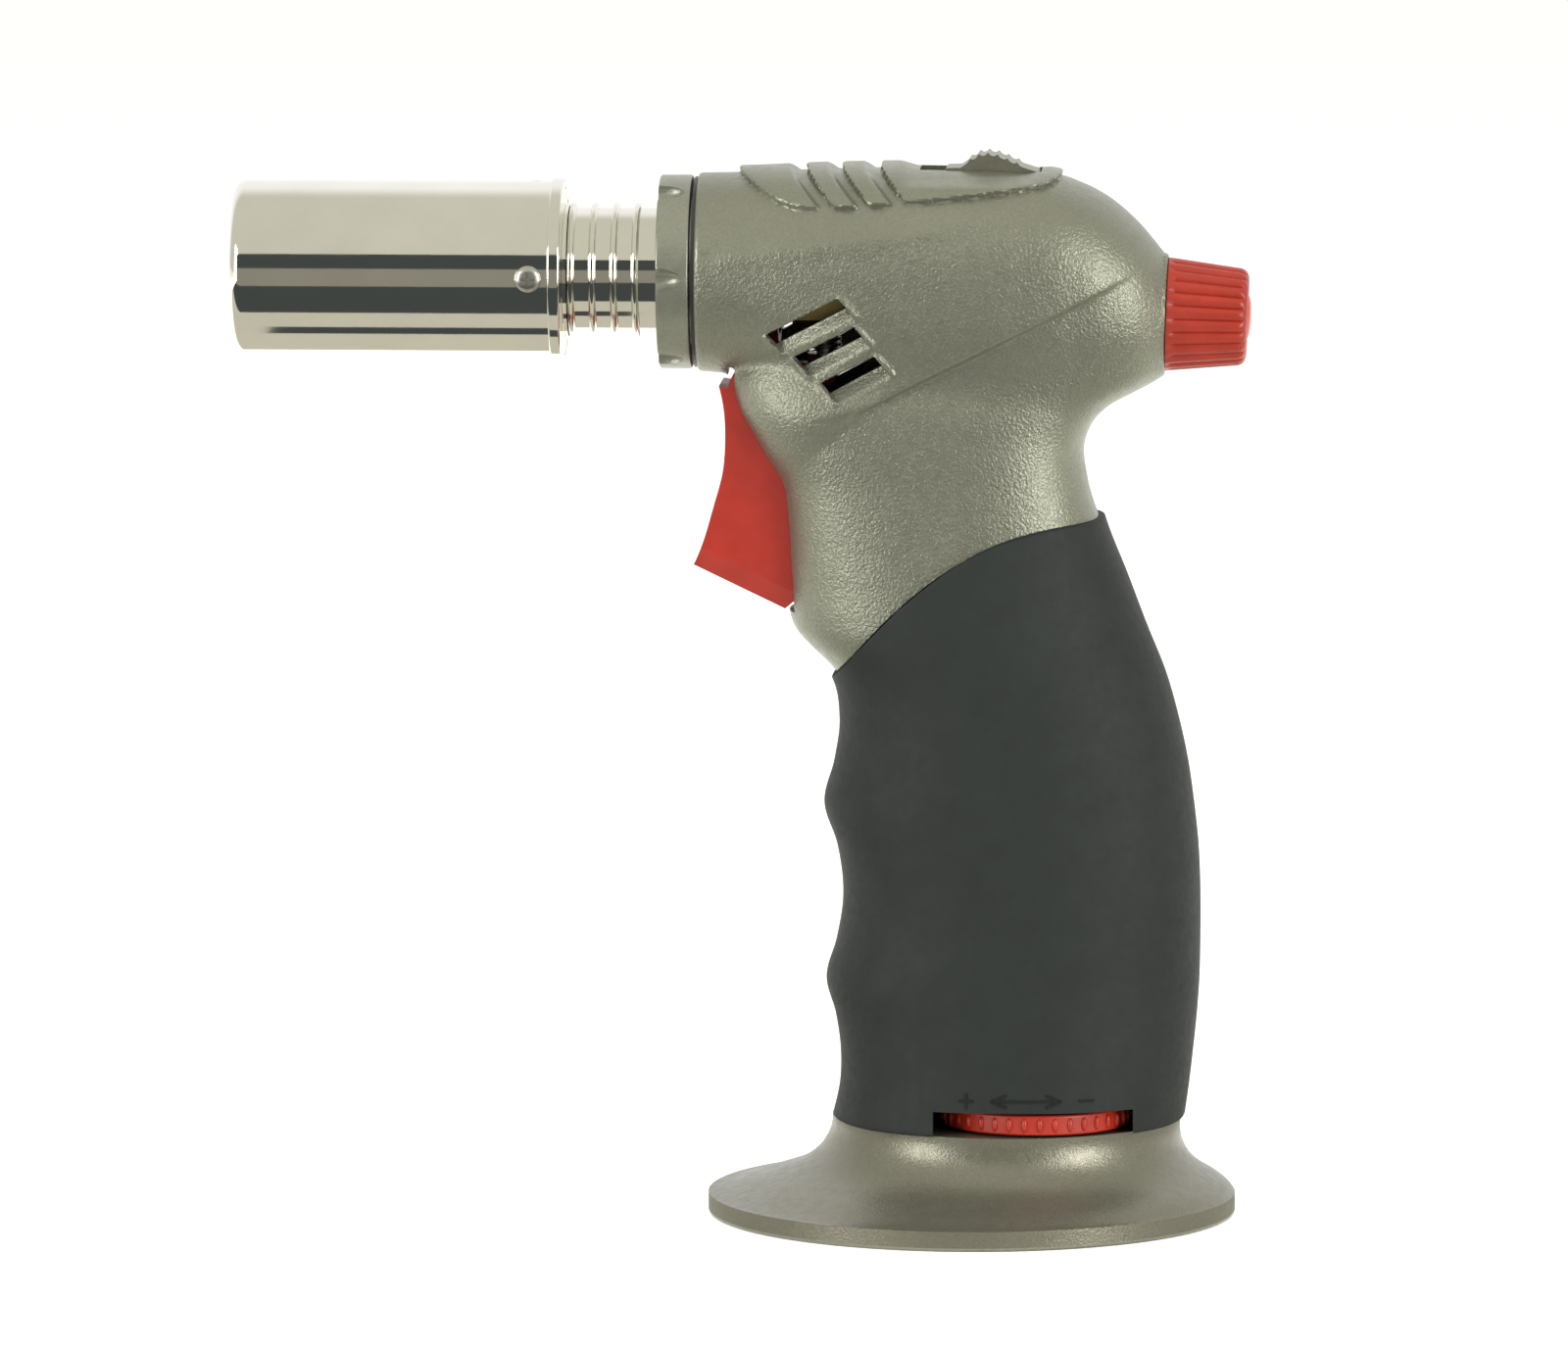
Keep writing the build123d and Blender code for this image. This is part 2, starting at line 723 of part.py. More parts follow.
with BuildPart() as tube_ring:
    add(
        turned(
            [
                (ring_rear, tube_radius + seat),
                (ring_rear, ring_radius - 0.2),
                (ring_rear - 0.2, ring_radius),
                (ring_front + 0.2, ring_radius),
                (ring_front, ring_radius - 0.2),
                (ring_front, tube_radius + seat),
            ]
        )
    )
save(tube_ring.part, "tube_ring")

with BuildPart() as tube_screws:
    for angle in screw_angles:
        way = around(angle)
        add(rod(on_burner(tube_screw_x, angle, tube_radius), way, 1.0, screw_head))
        add(rod(on_burner(tube_screw_x, angle, neck_radius), way, tube_radius - neck_radius, screw_radius))
save(tube_screws.part, "tube_screws")

# The neck is a turned piece with round fins between wide grooves.
neck_profile = [(ring_rear, 0), (ring_rear, neck_radius)]
for i in range(neck_fins):
    start = ring_rear + neck_stub + i * neck_pitch
    neck_profile += [
        (start, neck_radius),
        (start, neck_radius - neck_groove),
        (start + neck_pitch - neck_fin, neck_radius - neck_groove),
        (start + neck_pitch - neck_fin, neck_radius),
    ]
neck_profile += [(neck_rear - collar_play, neck_radius), (neck_rear - collar_play, 0)]
bush_bore = bush_radius - bush_wall

with BuildPart() as burner_neck:
    add(turned(neck_profile))
    add(rod((ring_rear - spigot_length, 0, burner_height), (1, 0, 0), spigot_length, tube_bore - seat))
    add(rod((neck_rear - collar_play, 0, burner_height), (1, 0, 0), tail_length, bush_bore - seat))
    add(rod((-reach * 2, 0, burner_height), (1, 0, 0), 2 * reach, mix_radius + seat), mode=Mode.SUBTRACT)
    add(rod((-reach * 2, 0, burner_height + lead_offset), (1, 0, 0), 2 * reach, lead_radius + seat), mode=Mode.SUBTRACT)
    for angle in screw_angles:
        add(
            rod(on_burner(tube_screw_x, angle, neck_radius), around(angle), reach, screw_radius + seat),
            mode=Mode.SUBTRACT,
        )
save(burner_neck.part, "burner_neck")

mix_rear = block_front - 2.4
with BuildPart() as mixing_tube:
    add(rod((mix_front, 0, burner_height), (1, 0, 0), mix_rear - mix_front, mix_radius, mix_radius - mix_wall))
    for angle in (45, 135, 225, 315):
        add(rod(on_burner(port_x, angle, 0), around(angle), reach, 1.4), mode=Mode.SUBTRACT)
save(mixing_tube.part, "mixing_tube")

with BuildPart() as flame_holder:
    with BuildSketch(Plane.YZ.offset(mix_front - holder_thick)):
        with Locations((0, burner_height)):
            Circle(tube_bore - seat)
            with PolarLocations(lead_offset + 0.9, holder_ports, start_angle=90):
                Circle(port_radius, mode=Mode.SUBTRACT)
    extrude(amount=holder_thick)
    add(rod((mix_front, 0, burner_height), (1, 0, 0), 4.0, mix_radius + 1.0))
    add(rod((mix_front, 0, burner_height), (1, 0, 0), 4.0, mix_radius + seat), mode=Mode.SUBTRACT)
    add(rod((-2 * reach, 0, burner_height), (1, 0, 0), 2 * reach, mix_radius - mix_wall), mode=Mode.SUBTRACT)
save(flame_holder.part, "flame_holder")

with BuildPart() as gas_jet:
    add(rod((block_front, 0, burner_height), (-1, 0, 0), 2.4, mix_radius))
    add(rod((block_front, 0, burner_height), (-1, 0, 0), 5.5, jet_radius))
    add(rod((block_front, 0, burner_height), (1, 0, 0), jet_seat, jet_radius))
    add(rod((-reach, 0, burner_height), (1, 0, 0), reach, 0.4), mode=Mode.SUBTRACT)
save(gas_jet.part, "gas_jet")

with BuildPart() as electrode_sleeve:
    lead_height = burner_height + lead_offset
    add(rod((neck_rear + tail_length, 0, lead_height), (-1, 0, 0), 25.0, lead_radius, electrode_radius + seat))
save(electrode_sleeve.part, "electrode_sleeve")

lead_tip = mix_front - holder_thick - 3.0
with BuildPart() as electrode:
    add(rod((neck_rear + tail_length - 1, 0, lead_height), (-1, 0, 0), neck_rear + tail_length - 1 - lead_tip, electrode_radius))
save(electrode.part, "electrode")

# ---------------------------------------------------------------- air collar


def port_block(i, radius):
    """The i-th air port, cut outwards through a wall of the given outer radius."""
    way = around(45 + 360 / air_ports * i)
    with BuildPart() as block:
        with BuildSketch(Plane(on_burner(port_x, 0, 0), x_dir=(1, 0, 0), z_dir=way)):
            Rectangle(port_length, port_width)
        extrude(amount=radius + 1)
    return block.part


with BuildPart() as air_bush:
    add(rod((neck_rear, 0, burner_height), (1, 0, 0), bush_rear - neck_rear, bush_radius, bush_bore))
    for i in range(air_ports):
        add(port_block(i, bush_radius), mode=Mode.SUBTRACT)
save(air_bush.part, "air_bush")

with BuildPart() as nose_washer:
    add(rod((head_front - washer_thick, 0, burner_height), (1, 0, 0), washer_thick, collar_radius - 0.2, port_reach))
save(nose_washer.part, "nose_washer")

with BuildPart() as air_collar:
    add(rod((neck_rear, 0, burner_height), (1, 0, 0), collar_rear - neck_rear, collar_radius, bush_radius + run))
    edges_round = air_collar.edges().filter_by(GeomType.CIRCLE).sort_by(Edge.length, reverse=True)[:2]
    chamfer(edges_round, 0.3)
    with BuildSketch(Plane.YZ.offset(neck_rear)):
        with Locations((0, burner_height)):
            with PolarLocations(collar_radius, collar_notches, start_angle=0):
                Circle(notch_radius)
    extrude(amount=notch_length, mode=Mode.SUBTRACT)
    for i in range(collar_notches):
        angle = 360 / collar_notches * i + 90
        ball = Sphere(notch_radius, mode=Mode.PRIVATE)
        add(ball.moved(Location(on_burner(neck_rear + notch_length, angle, collar_radius))), mode=Mode.SUBTRACT)
save(air_collar.part, "air_collar")

with BuildPart() as air_shutter:
    add(rod((collar_rear, 0, burner_height), (1, 0, 0), shutter_rear - collar_rear, shutter_radius, bush_radius + run))
    add(
        rod(
            (head_front + nose_depth + gap, 0, burner_height),
            (1, 0, 0),
            1.0,
            shutter_rim,
            bush_radius + run,
        )
    )
    for i in range(air_ports):
        add(port_block(i, shutter_rim), mode=Mode.SUBTRACT)
save(air_shutter.part, "air_shutter")

# ---------------------------------------------------------------- valve block

with BuildPart() as valve_block:
    add(slab(block_front, block_front + block_length, -block_half, block_half, block_low, block_high))
    chamfer(valve_block.edges().filter_by(Axis.X), 1.0)
    add(rod((block_front, 0, burner_height), (1, 0, 0), jet_seat, jet_radius + seat), mode=Mode.SUBTRACT)
    add(rod((stem_x, 0, block_low), (0, 0, 1), 8.0, stem_radius + run), mode=Mode.SUBTRACT)
    add(rod(knob_origin - knob_stem_length * knob_way, knob_way, 10, needle_radius + run), mode=Mode.SUBTRACT)
    add(rod((pipe_end_x, pipe_end_y, block_low), (0, 0, 1), 2.0, pipe_radius + seat), mode=Mode.SUBTRACT)
save(valve_block.part, "valve_block")

heel_top = pivot_z + heel_z + heel_radius
with BuildPart() as valve_stem:
    add(rod((stem_x, 0, heel_top + run), (0, 0, 1), 1.2, stem_foot))
    add(rod((stem_x, 0, heel_top + run), (0, 0, 1), block_low + 5.0 - heel_top, stem_radius))
save(valve_stem.part, "valve_stem")

with BuildPart() as stem_spring:
    low = heel_top + run + 1.2 + spring_wire
    add(coil((stem_x, 0, low), (0, 0, 1), block_low - spring_wire - low, stem_radius + 0.7, 4, 0.25))
save(stem_spring.part, "stem_spring")

with BuildPart() as gas_pipe:
    path_points = [
        (pipe_x, pipe_y, tank_high - 1.5),
        (pipe_x, pipe_y, block_low - 8.0),
        (pipe_end_x, pipe_end_y, block_low - 5.0),
        (pipe_end_x, pipe_end_y, block_low + 2.0),
    ]
    add(pipe(path_points, pipe_radius, 2.5))
save(gas_pipe.part, "gas_pipe")

# ---------------------------------------------------------------- knob

with BuildPart() as knob_bush:
    add(rod(knob_origin - 6 * knob_way, knob_way, 6 - gap, knob_bush_radius, needle_radius + run))
save(knob_bush.part, "knob_bush")

with BuildPart() as knob_stem:
    add(rod(knob_origin - (knob_stem_length - 2) * knob_way, knob_way, knob_stem_length + 4, needle_radius))
    chamfer(knob_stem.edges().group_by(Axis.X)[0], 0.9)
save(knob_stem.part, "knob_stem")

knob_face = Plane(knob_origin + knob_gap * knob_way, x_dir=(0, 1, 0), z_dir=knob_way)
with BuildPart() as flame_knob:
    with BuildSketch(knob_face):
        Circle(knob_radius)
    with BuildSketch(knob_face.offset(knob_length)):
        Circle(knob_tip_radius)
    loft()
    fillet(flame_knob.edges().group_by(Axis.X)[-1], 1.6)
    for i in range(knob_flutes):
        turn = 2 * pi * i / knob_flutes
        low = knob_face.from_local_coords((knob_radius * cos(turn), knob_radius * sin(turn), -1))
        high = knob_face.from_local_coords(
            (knob_tip_radius * cos(turn), knob_tip_radius * sin(turn), knob_length + 1)
        )
        add(rod(low, high - low, (high - low).length, flute_radius), mode=Mode.SUBTRACT)
    add(rod(knob_origin, knob_way, 6 + seat, needle_radius + seat), mode=Mode.SUBTRACT)
    add(rod(knob_origin + (knob_gap + knob_length) * knob_way, -knob_way, 1.0, cap_radius + seat), mode=Mode.SUBTRACT)
save(flame_knob.part, "flame_knob")

with BuildPart() as knob_cap:
    add(rod(knob_origin + (knob_gap + knob_length) * knob_way, -knob_way, 1.0, cap_radius))
    add(rod(knob_origin + (knob_gap + knob_length) * knob_way, knob_way, 0.4, cap_radius))
    fillet(knob_cap.edges().filter_by(GeomType.CIRCLE).sort_by(Axis.X)[-1], 0.35)
save(knob_cap.part, "knob_cap")

# ---------------------------------------------------------------- lock slide

slide_rear = slide_front + slide_length
roof_inside = head_sections[3][2] - wall
with BuildPart() as lock_slide:
    with BuildSketch(Plane.XZ):
        with BuildLine():
            low = slide_deck + 0.1
            Polyline(
                (slide_rear, slide_deck + 2.2), (slide_rear, low), (slide_front, low),
                (slide_front, slide_deck + 1.6), (slide_front + 2.2, slide_deck + 1.9),
            )
            Spline(
                (slide_front + 2.2, slide_deck + 1.9),
                (slide_front + 4.2, slide_height),
                (slide_front + 8.0, slide_height - 0.9),
                (slide_rear, slide_deck + 2.2),
            )
        make_face()
    extrude(amount=slide_half, both=True)
    for i in range(slide_ridges):
        x = slide_front + 4.2 + i * slide_ridge_pitch
        add(rod((x, -reach, slide_height + 0.25 - 0.02 * i * i * 2), (0, 1, 0), 2 * reach, 0.5), mode=Mode.SUBTRACT)
    add(
        slab(
            stem_front, stem_rear, -slide_stem_half, slide_stem_half,
            roof_inside - gap - clip_thick, slide_deck + 0.2,
        )
    )
save(lock_slide.part, "lock_slide")

with BuildPart() as slide_clip:
    add(
        slab(
            slide_front + 1, slide_rear - 1, -slide_half, slide_half,
            roof_inside - gap - clip_thick, roof_inside - gap,
        )
    )
    add(
        slab(
            stem_front - seat, stem_rear + seat, -slide_stem_half - seat, slide_stem_half + seat,
            0, reach * 3,
        ),
        mode=Mode.SUBTRACT,
    )
save(slide_clip.part, "slide_clip")

# ---------------------------------------------------------------- trigger and igniter


def about_pivot(x, z):
    """A point given from the trigger's pivot."""
    return (pivot_x + x, pivot_z + z)


front_points = [about_pivot(x, z) for x, z in trigger_front]
toe = about_pivot(*trigger_toe)
with BuildPart() as trigger:
    with BuildSketch(Plane.XZ):
        with BuildLine():
            Spline(front_points)
            Polyline(
                front_points[-1], toe, about_pivot(6.2, -27.0),
                about_pivot(4.6, -14), about_pivot(3.4, -1), front_points[0],
            )
        make_face()
    extrude(amount=trigger_half, both=True)
    underside = trigger.faces().filter_by(GeomType.PLANE).sort_by(Axis.Z)[1]
    sole_edges = underside.edges().filter_by(Axis.Y, reverse=True)
    chamfer(sole_edges, toe_bevel, toe_bevel_height, reference=underside)
    fillet(trigger.faces().sort_by(Axis.X)[0].edges().filter_by(GeomType.BSPLINE), trigger_round)
    add(rod((pivot_x, -trigger_half, pivot_z), (0, 1, 0), 2 * trigger_half, trigger_eye))
    # hollow behind the finger face
    with BuildSketch(Plane.XZ):
        with BuildLine():
            Polyline(
                about_pivot(-1.2, -5), about_pivot(-1.6, -12), about_pivot(-4.4, -22),
                about_pivot(3.4, -26.0), about_pivot(7.0, -25), about_pivot(7, -14), about_pivot(7.0, -5.0), close=True,
            )
        make_face()
    extrude(amount=trigger_half - trigger_shell, both=True, mode=Mode.SUBTRACT)
    # nose that pushes the igniter and heel that lifts the valve stem
    add(slab(pivot_x - 3, pivot_x + nose_x, -1.5, 1.5, pivot_z + nose_z - nose_radius, pivot_z + nose_z + nose_radius))
    add(rod((pivot_x + nose_x, -1.5, pivot_z + nose_z), (0, 1, 0), 3.0, nose_radius))
    add(slab(pivot_x, pivot_x + heel_x, -1.5, 1.5, pivot_z + heel_z - heel_radius, pivot_z + heel_z + heel_radius))
    add(rod((pivot_x + heel_x, -1.5, pivot_z + heel_z), (0, 1, 0), 3.0, heel_radius))
    add(rod((pivot_x, -reach, pivot_z), (0, 1, 0), 2 * reach, pin_radius + run), mode=Mode.SUBTRACT)
save(trigger.part, "trigger")

with BuildPart() as trigger_pin:
    add(rod((pivot_x, gap - pin_reach, pivot_z), (0, 1, 0), 2 * (pin_reach - gap), pin_radius))
save(trigger_pin.part, "trigger_pin")

plunger_front = pivot_x + nose_x + nose_radius + run
igniter_front = plunger_front + plunger_out
with BuildPart() as igniter_plunger:
    add(rod((plunger_front, 0, plunger_height), (1, 0, 0), plunger_out + plunger_in, plunger_radius))
    chamfer(igniter_plunger.edges().group_by(Axis.X)[0], 0.4)
save(igniter_plunger.part, "igniter_plunger")

with BuildPart() as igniter_body:
    add(
        slab(
            igniter_front, igniter_front + igniter_length, -igniter_half, igniter_half,
            plunger_height - igniter_rise / 2, plunger_height + igniter_rise / 2,
        )
    )
    chamfer(igniter_body.edges().filter_by(Axis.X), 0.8)
    depth = plunger_in + plunger_travel + 1.0
    add(rod((igniter_front, 0, plunger_height), (1, 0, 0), depth, plunger_radius + run), mode=Mode.SUBTRACT)
save(igniter_body.part, "igniter_body")

cable_x = igniter_front + igniter_length - 4
with BuildPart() as igniter_cable:
    cable_points = [
        (cable_x, 0, plunger_height + igniter_rise / 2),
        (cable_x, 0, plunger_height + igniter_rise / 2 + 5),
        (cable_x - 1, -9.0, 112.0),
        (1.0, -9.5, 124.0),
        (-10.0, -7.5, 132.4),
        (-19.0, -2.0, lead_height),
        (-26.0, 0, lead_height),
        (neck_rear + tail_length, 0, lead_height),
    ]
    add(pipe(cable_points, cable_radius, [2.2, 3.5, 5.0, 5.0, 5.0, 4.0]))
save(igniter_cable.part, "igniter_cable")
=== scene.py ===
# %% [markdown]
# # Butane torch
# A hand-held torch for jewellery work. A chrome burner sits on the nose of a painted casing, which
# goes over into a rubber-coated grip on a round foot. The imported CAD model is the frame: it gives
# every part its place, and this script gives the parts their finish and their finer shapes.

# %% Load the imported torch
import json
import math

import bmesh
import bpy
import numpy as np
from mathutils import Matrix, Vector


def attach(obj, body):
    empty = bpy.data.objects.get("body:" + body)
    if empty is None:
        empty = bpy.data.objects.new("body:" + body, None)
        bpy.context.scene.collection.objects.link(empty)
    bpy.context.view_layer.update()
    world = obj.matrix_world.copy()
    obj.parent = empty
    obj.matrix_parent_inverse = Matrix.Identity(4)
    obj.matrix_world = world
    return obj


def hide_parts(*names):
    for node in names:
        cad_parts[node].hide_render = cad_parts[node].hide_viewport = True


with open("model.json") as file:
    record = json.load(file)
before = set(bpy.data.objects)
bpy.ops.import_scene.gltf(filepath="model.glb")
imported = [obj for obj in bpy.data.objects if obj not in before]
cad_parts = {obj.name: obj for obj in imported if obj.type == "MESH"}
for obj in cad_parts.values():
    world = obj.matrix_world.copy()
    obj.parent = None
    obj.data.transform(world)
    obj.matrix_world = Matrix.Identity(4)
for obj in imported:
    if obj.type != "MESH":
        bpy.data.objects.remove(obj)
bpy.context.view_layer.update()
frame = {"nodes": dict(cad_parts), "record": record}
nodes = frame["nodes"]
print("CAD parts:", len(nodes))

# %% [markdown]
# Shapes are worked out in millimetres, because that is how a moulding is drawn, and go down to
# metres in one place, when the mesh is made. A modifier could stay live on a piece, but a baked
# mesh is easier to cut, to join and to hand on, so every modifier is baked as soon as it is set.

# %% Make a mesh from points in millimetres
MM = 0.001
MARGIN = 1e-7  # points nearer than this, in metres, are one point


def make_piece(name, points, faces, smooth=True):
    mesh = bpy.data.meshes.new(name)
    mesh.from_pydata(np.asarray(points).tolist(), [], [list(map(int, face)) for face in faces])
    mesh.transform(Matrix.Scale(MM, 4))
    mesh.shade_smooth() if smooth else mesh.shade_flat()
    piece = bpy.data.objects.new(name, mesh)
    bpy.context.scene.collection.objects.link(piece)
    return piece


def bake(piece):
    """Turns a piece and its modifiers into a plain mesh."""
    evaluated = piece.evaluated_get(bpy.context.evaluated_depsgraph_get())
    mesh = bpy.data.meshes.new_from_object(evaluated)
    old = piece.data
    piece.modifiers.clear()
    piece.data = mesh
    bpy.data.meshes.remove(old)


# %% [markdown]
# A moulding is cut, joined and split with booleans. The fast solver wants closed meshes. Where it
# leaves a big mesh as it was, the slower exact one does the cut.

# %% Booleans, shading and closed blocks
BIG_MESH = 1000


def combine(piece, other, operation, solver="MANIFOLD"):
    """Cuts, joins or meets two closed meshes, and removes the second."""
    cut = piece.modifiers.new("cut", "BOOLEAN")
    cut.operation, cut.object, cut.solver = operation, other, solver
    bpy.context.view_layer.update()
    before = len(piece.data.polygons)
    bake(piece)
    unchanged = len(piece.data.polygons) == before
    if unchanged and solver == "MANIFOLD" and before > BIG_MESH:
        return combine(piece, other, operation, "EXACT")
    bpy.data.objects.remove(other)


def finish_shading(piece, angle=32):
    """Smooth faces, sharp where they meet at more than an angle."""
    piece.data.shade_smooth()
    piece.data.set_sharp_from_angle(angle=math.radians(angle))
    modifier = piece.modifiers.new("shade", "WEIGHTED_NORMAL")
    modifier.keep_sharp, modifier.weight = True, 60
    bake(piece)


def block(x0, x1, y0, y1, z0, z1):
    """A closed block for cutting."""
    points = [(x, y, z) for x in (x0, x1) for y in (y0, y1) for z in (z0, z1)]
    faces = [(0, 1, 3, 2), (4, 6, 7, 5), (0, 4, 5, 1), (2, 3, 7, 6), (0, 2, 6, 4), (1, 5, 7, 3)]
    piece = make_piece("block", points, faces, smooth=False)
    fix_outside(piece)
    return piece


def side_cutter(outline, y0=-60.0, y1=60.0):
    """A closed prism, from an outline in X and Z, from one Y to another."""
    count = len(outline)
    points = [(x, y0, z) for x, z in outline] + [(x, y1, z) for x, z in outline]
    faces = [tuple(range(count)), tuple(range(2 * count - 1, count - 1, -1))]
    faces += [(i, i + count, (i + 1) % count + count, (i + 1) % count) for i in range(count)]
    piece = make_piece("cutter", points, faces, smooth=False)
    fix_outside(piece)
    return piece


def ring_faces(rings, around, closed=True):
    """Quads between rings of points. In a closed piece the last ring meets the first."""
    faces = []
    for ring in range(rings if closed else rings - 1):
        a, b = ring * around, (ring + 1) % rings * around
        faces += [(a + i, a + (i + 1) % around, b + (i + 1) % around, b + i) for i in range(around)]
    return faces


def spun(name, start, way, profile, around=96, closed=True):
    """A turned piece: a profile of (distance along, radius), from a point along a direction."""
    way = Vector(way).normalized()
    side = way.orthogonal().normalized()
    up = way.cross(side)
    start = Vector(start)
    points = []
    for along, radius in profile:
        for i in range(around):
            turn = 2 * math.pi * i / around
            spoke = side * math.cos(turn) + up * math.sin(turn)
            points.append(start + way * along + spoke * radius)
    rings = len(profile)
    faces = ring_faces(rings, around, closed)
    if not closed:
        faces.append(tuple(range(around - 1, -1, -1)))
        faces.append(tuple((rings - 1) * around + i for i in range(around)))
    piece = make_piece(name, points, faces)
    fix_outside(piece)
    return piece


def fix_outside(piece):
    """Turns every face of a closed mesh outwards."""
    shape = bmesh.new()
    shape.from_mesh(piece.data)
    bmesh.ops.remove_doubles(shape, verts=shape.verts, dist=MARGIN)
    bmesh.ops.recalc_face_normals(shape, faces=shape.faces)
    shape.to_mesh(piece.data)
    shape.free()


def join(piece, *others):
    """Adds other meshes to a piece."""
    shape = bmesh.new()
    shape.from_mesh(piece.data)
    for other in others:
        shape.from_mesh(other.data)
        bpy.data.objects.remove(other)
    shape.to_mesh(piece.data)
    shape.free()


print("mesh helpers ready")

# %% [markdown]
# The torch stands a little below the eye and is seen from its side, through a long lens, so that
# the round foot shows only as a narrow oval.

# %% Camera
aim = Vector((-0.025, 0.0, 0.0715))
azimuth, elevation, distance = math.radians(3.0), math.radians(7.0), 1.87
back = Vector((
    math.sin(azimuth) * math.cos(elevation),
    -math.cos(azimuth) * math.cos(elevation),
    math.sin(elevation),
))
camera = bpy.data.objects.new("camera", bpy.data.cameras.new("camera"))
camera.data.lens, camera.data.sensor_width = 324.0, 36.0
camera.data.clip_start, camera.data.clip_end = 0.05, 30.0
camera.location = aim + back * distance
camera.rotation_mode = "QUATERNION"
camera.rotation_quaternion = (-back).to_track_quat("-Z", "Y")
bpy.context.scene.collection.objects.link(camera)
bpy.context.scene.camera = camera
print("camera at", [round(v, 3) for v in camera.location])

# %% [markdown]
# Product light: a white room, a big soft panel overhead and a weaker one on each side. Chrome only
# looks like chrome when it has something dark to reflect, so dark cards lie on the table in front
# and stand behind the camera. Only reflections see the cards.
# The room itself is the world's colour: a warm grey all round, and a white backdrop behind the
# torch, chosen by direction.

# %% White room
world = bpy.data.worlds.new("white_room")
bpy.context.scene.world = world
world.use_nodes = True
world_tree = world.node_tree
world_shade = world_tree.nodes["Background"]
room, backdrop = (0.66, 0.65, 0.56, 1.0), (1.05, 1.05, 1.04, 1.0)
direction = world_tree.nodes.new("ShaderNodeTexCoord").outputs["Generated"]
across = world_tree.nodes.new("ShaderNodeSeparateXYZ")
behind = world_tree.nodes.new("ShaderNodeMapRange")
seen = world_tree.nodes.new("ShaderNodeLightPath").outputs["Is Camera Ray"]
share = world_tree.nodes.new("ShaderNodeMath")
blend = world_tree.nodes.new("ShaderNodeMix")
behind.interpolation_type, share.operation, blend.data_type = "SMOOTHSTEP", "MAXIMUM", "RGBA"
behind.inputs["From Min"].default_value, behind.inputs["From Max"].default_value = 0.35, 0.75
blend.inputs[6].default_value, blend.inputs[7].default_value = room, backdrop
for start, end in (
    (direction, across.inputs[0]),
    (across.outputs["Y"], behind.inputs["Value"]),
    (behind.outputs["Result"], share.inputs[0]),
    (seen, share.inputs[1]),
    (share.outputs[0], blend.inputs["Factor"]),
    (blend.outputs[2], world_shade.inputs["Color"]),
):
    world_tree.links.new(start, end)
world_shade.inputs["Strength"].default_value = 1.0
bpy.context.scene.view_settings.view_transform = "Standard"
print("room and backdrop:", room[:3], backdrop[:3])


# %% Panels, floor and reflection cards
def soft_panel(name, place, target, width, height, power, mirrored, colour=(1.0, 1.0, 0.97)):
    lamp = bpy.data.lights.new(name, "AREA")
    lamp.shape, lamp.size, lamp.size_y = "RECTANGLE", width, height
    lamp.energy, lamp.color = power, colour
    panel = bpy.data.objects.new(name, lamp)
    panel.location = place
    panel.rotation_mode = "QUATERNION"
    panel.rotation_quaternion = (Vector(target) - Vector(place)).to_track_quat("-Z", "Y")
    panel.visible_glossy = mirrored
    bpy.context.scene.collection.objects.link(panel)
    return panel


def stage_plane(name, corners, colour, glow=0.0, rough=0.9, base=None):
    mesh = bpy.data.meshes.new(name)
    mesh.from_pydata(corners, [], [tuple(range(len(corners)))])
    plane = bpy.data.objects.new(name, mesh)
    bpy.context.scene.collection.objects.link(plane)
    material = bpy.data.materials.new(name)
    material.use_nodes = True
    shader = material.node_tree.nodes["Principled BSDF"]
    shader.inputs["Base Color"].default_value = (*(base or colour), 1.0)
    shader.inputs["Roughness"].default_value = rough
    shader.inputs["Specular IOR Level"].default_value = 0.0
    shader.inputs["Emission Color"].default_value = (*colour, 1.0)
    shader.inputs["Emission Strength"].default_value = glow
    mesh.materials.append(material)
    return plane


def reflection_card(name, corners, colour, glow):
    card = stage_plane(name, corners, colour, glow, base=(0.0, 0.0, 0.0))
    card.visible_camera = card.visible_diffuse = card.visible_shadow = False
    card.visible_transmission = card.visible_volume_scatter = False
    return card


soft_panel("panel_top", (-0.1, -0.25, 1.3), (0.0, 0.0, 0.08), 1.2, 1.2, 14.0, False)
soft_panel("panel_left", (-0.95, -0.75, 0.35), (0.0, 0.0, 0.09), 0.5, 0.7, 7.0, True)
soft_panel("panel_right", (0.95, -0.75, 0.3), (0.0, 0.0, 0.09), 0.55, 0.8, 11.0, True)
floor_corners = [(-6, -6, 0), (6, -6, 0), (6, 6, 0), (-6, 6, 0)]
stage_plane("floor", floor_corners, (0.8, 0.8, 0.79), 0.5)
DARK, WARM, CREAM = (0.062, 0.070, 0.068), (0.29, 0.275, 0.23), (0.62, 0.60, 0.50)


def lying(y0, y1, half=0.6, height=0.0006, middle=0.0):
    """Corners of a card on the table."""
    left, right = middle - half, middle + half
    return [(left, y0, height), (right, y0, height), (right, y1, height), (left, y1, height)]


def standing(z0, z1, half=0.8, y=-0.8):
    """Corners of a card that stands behind the camera's side of the table."""
    return [(-half, y, z0), (half, y, z0), (half, y, z1), (-half, y, z1)]


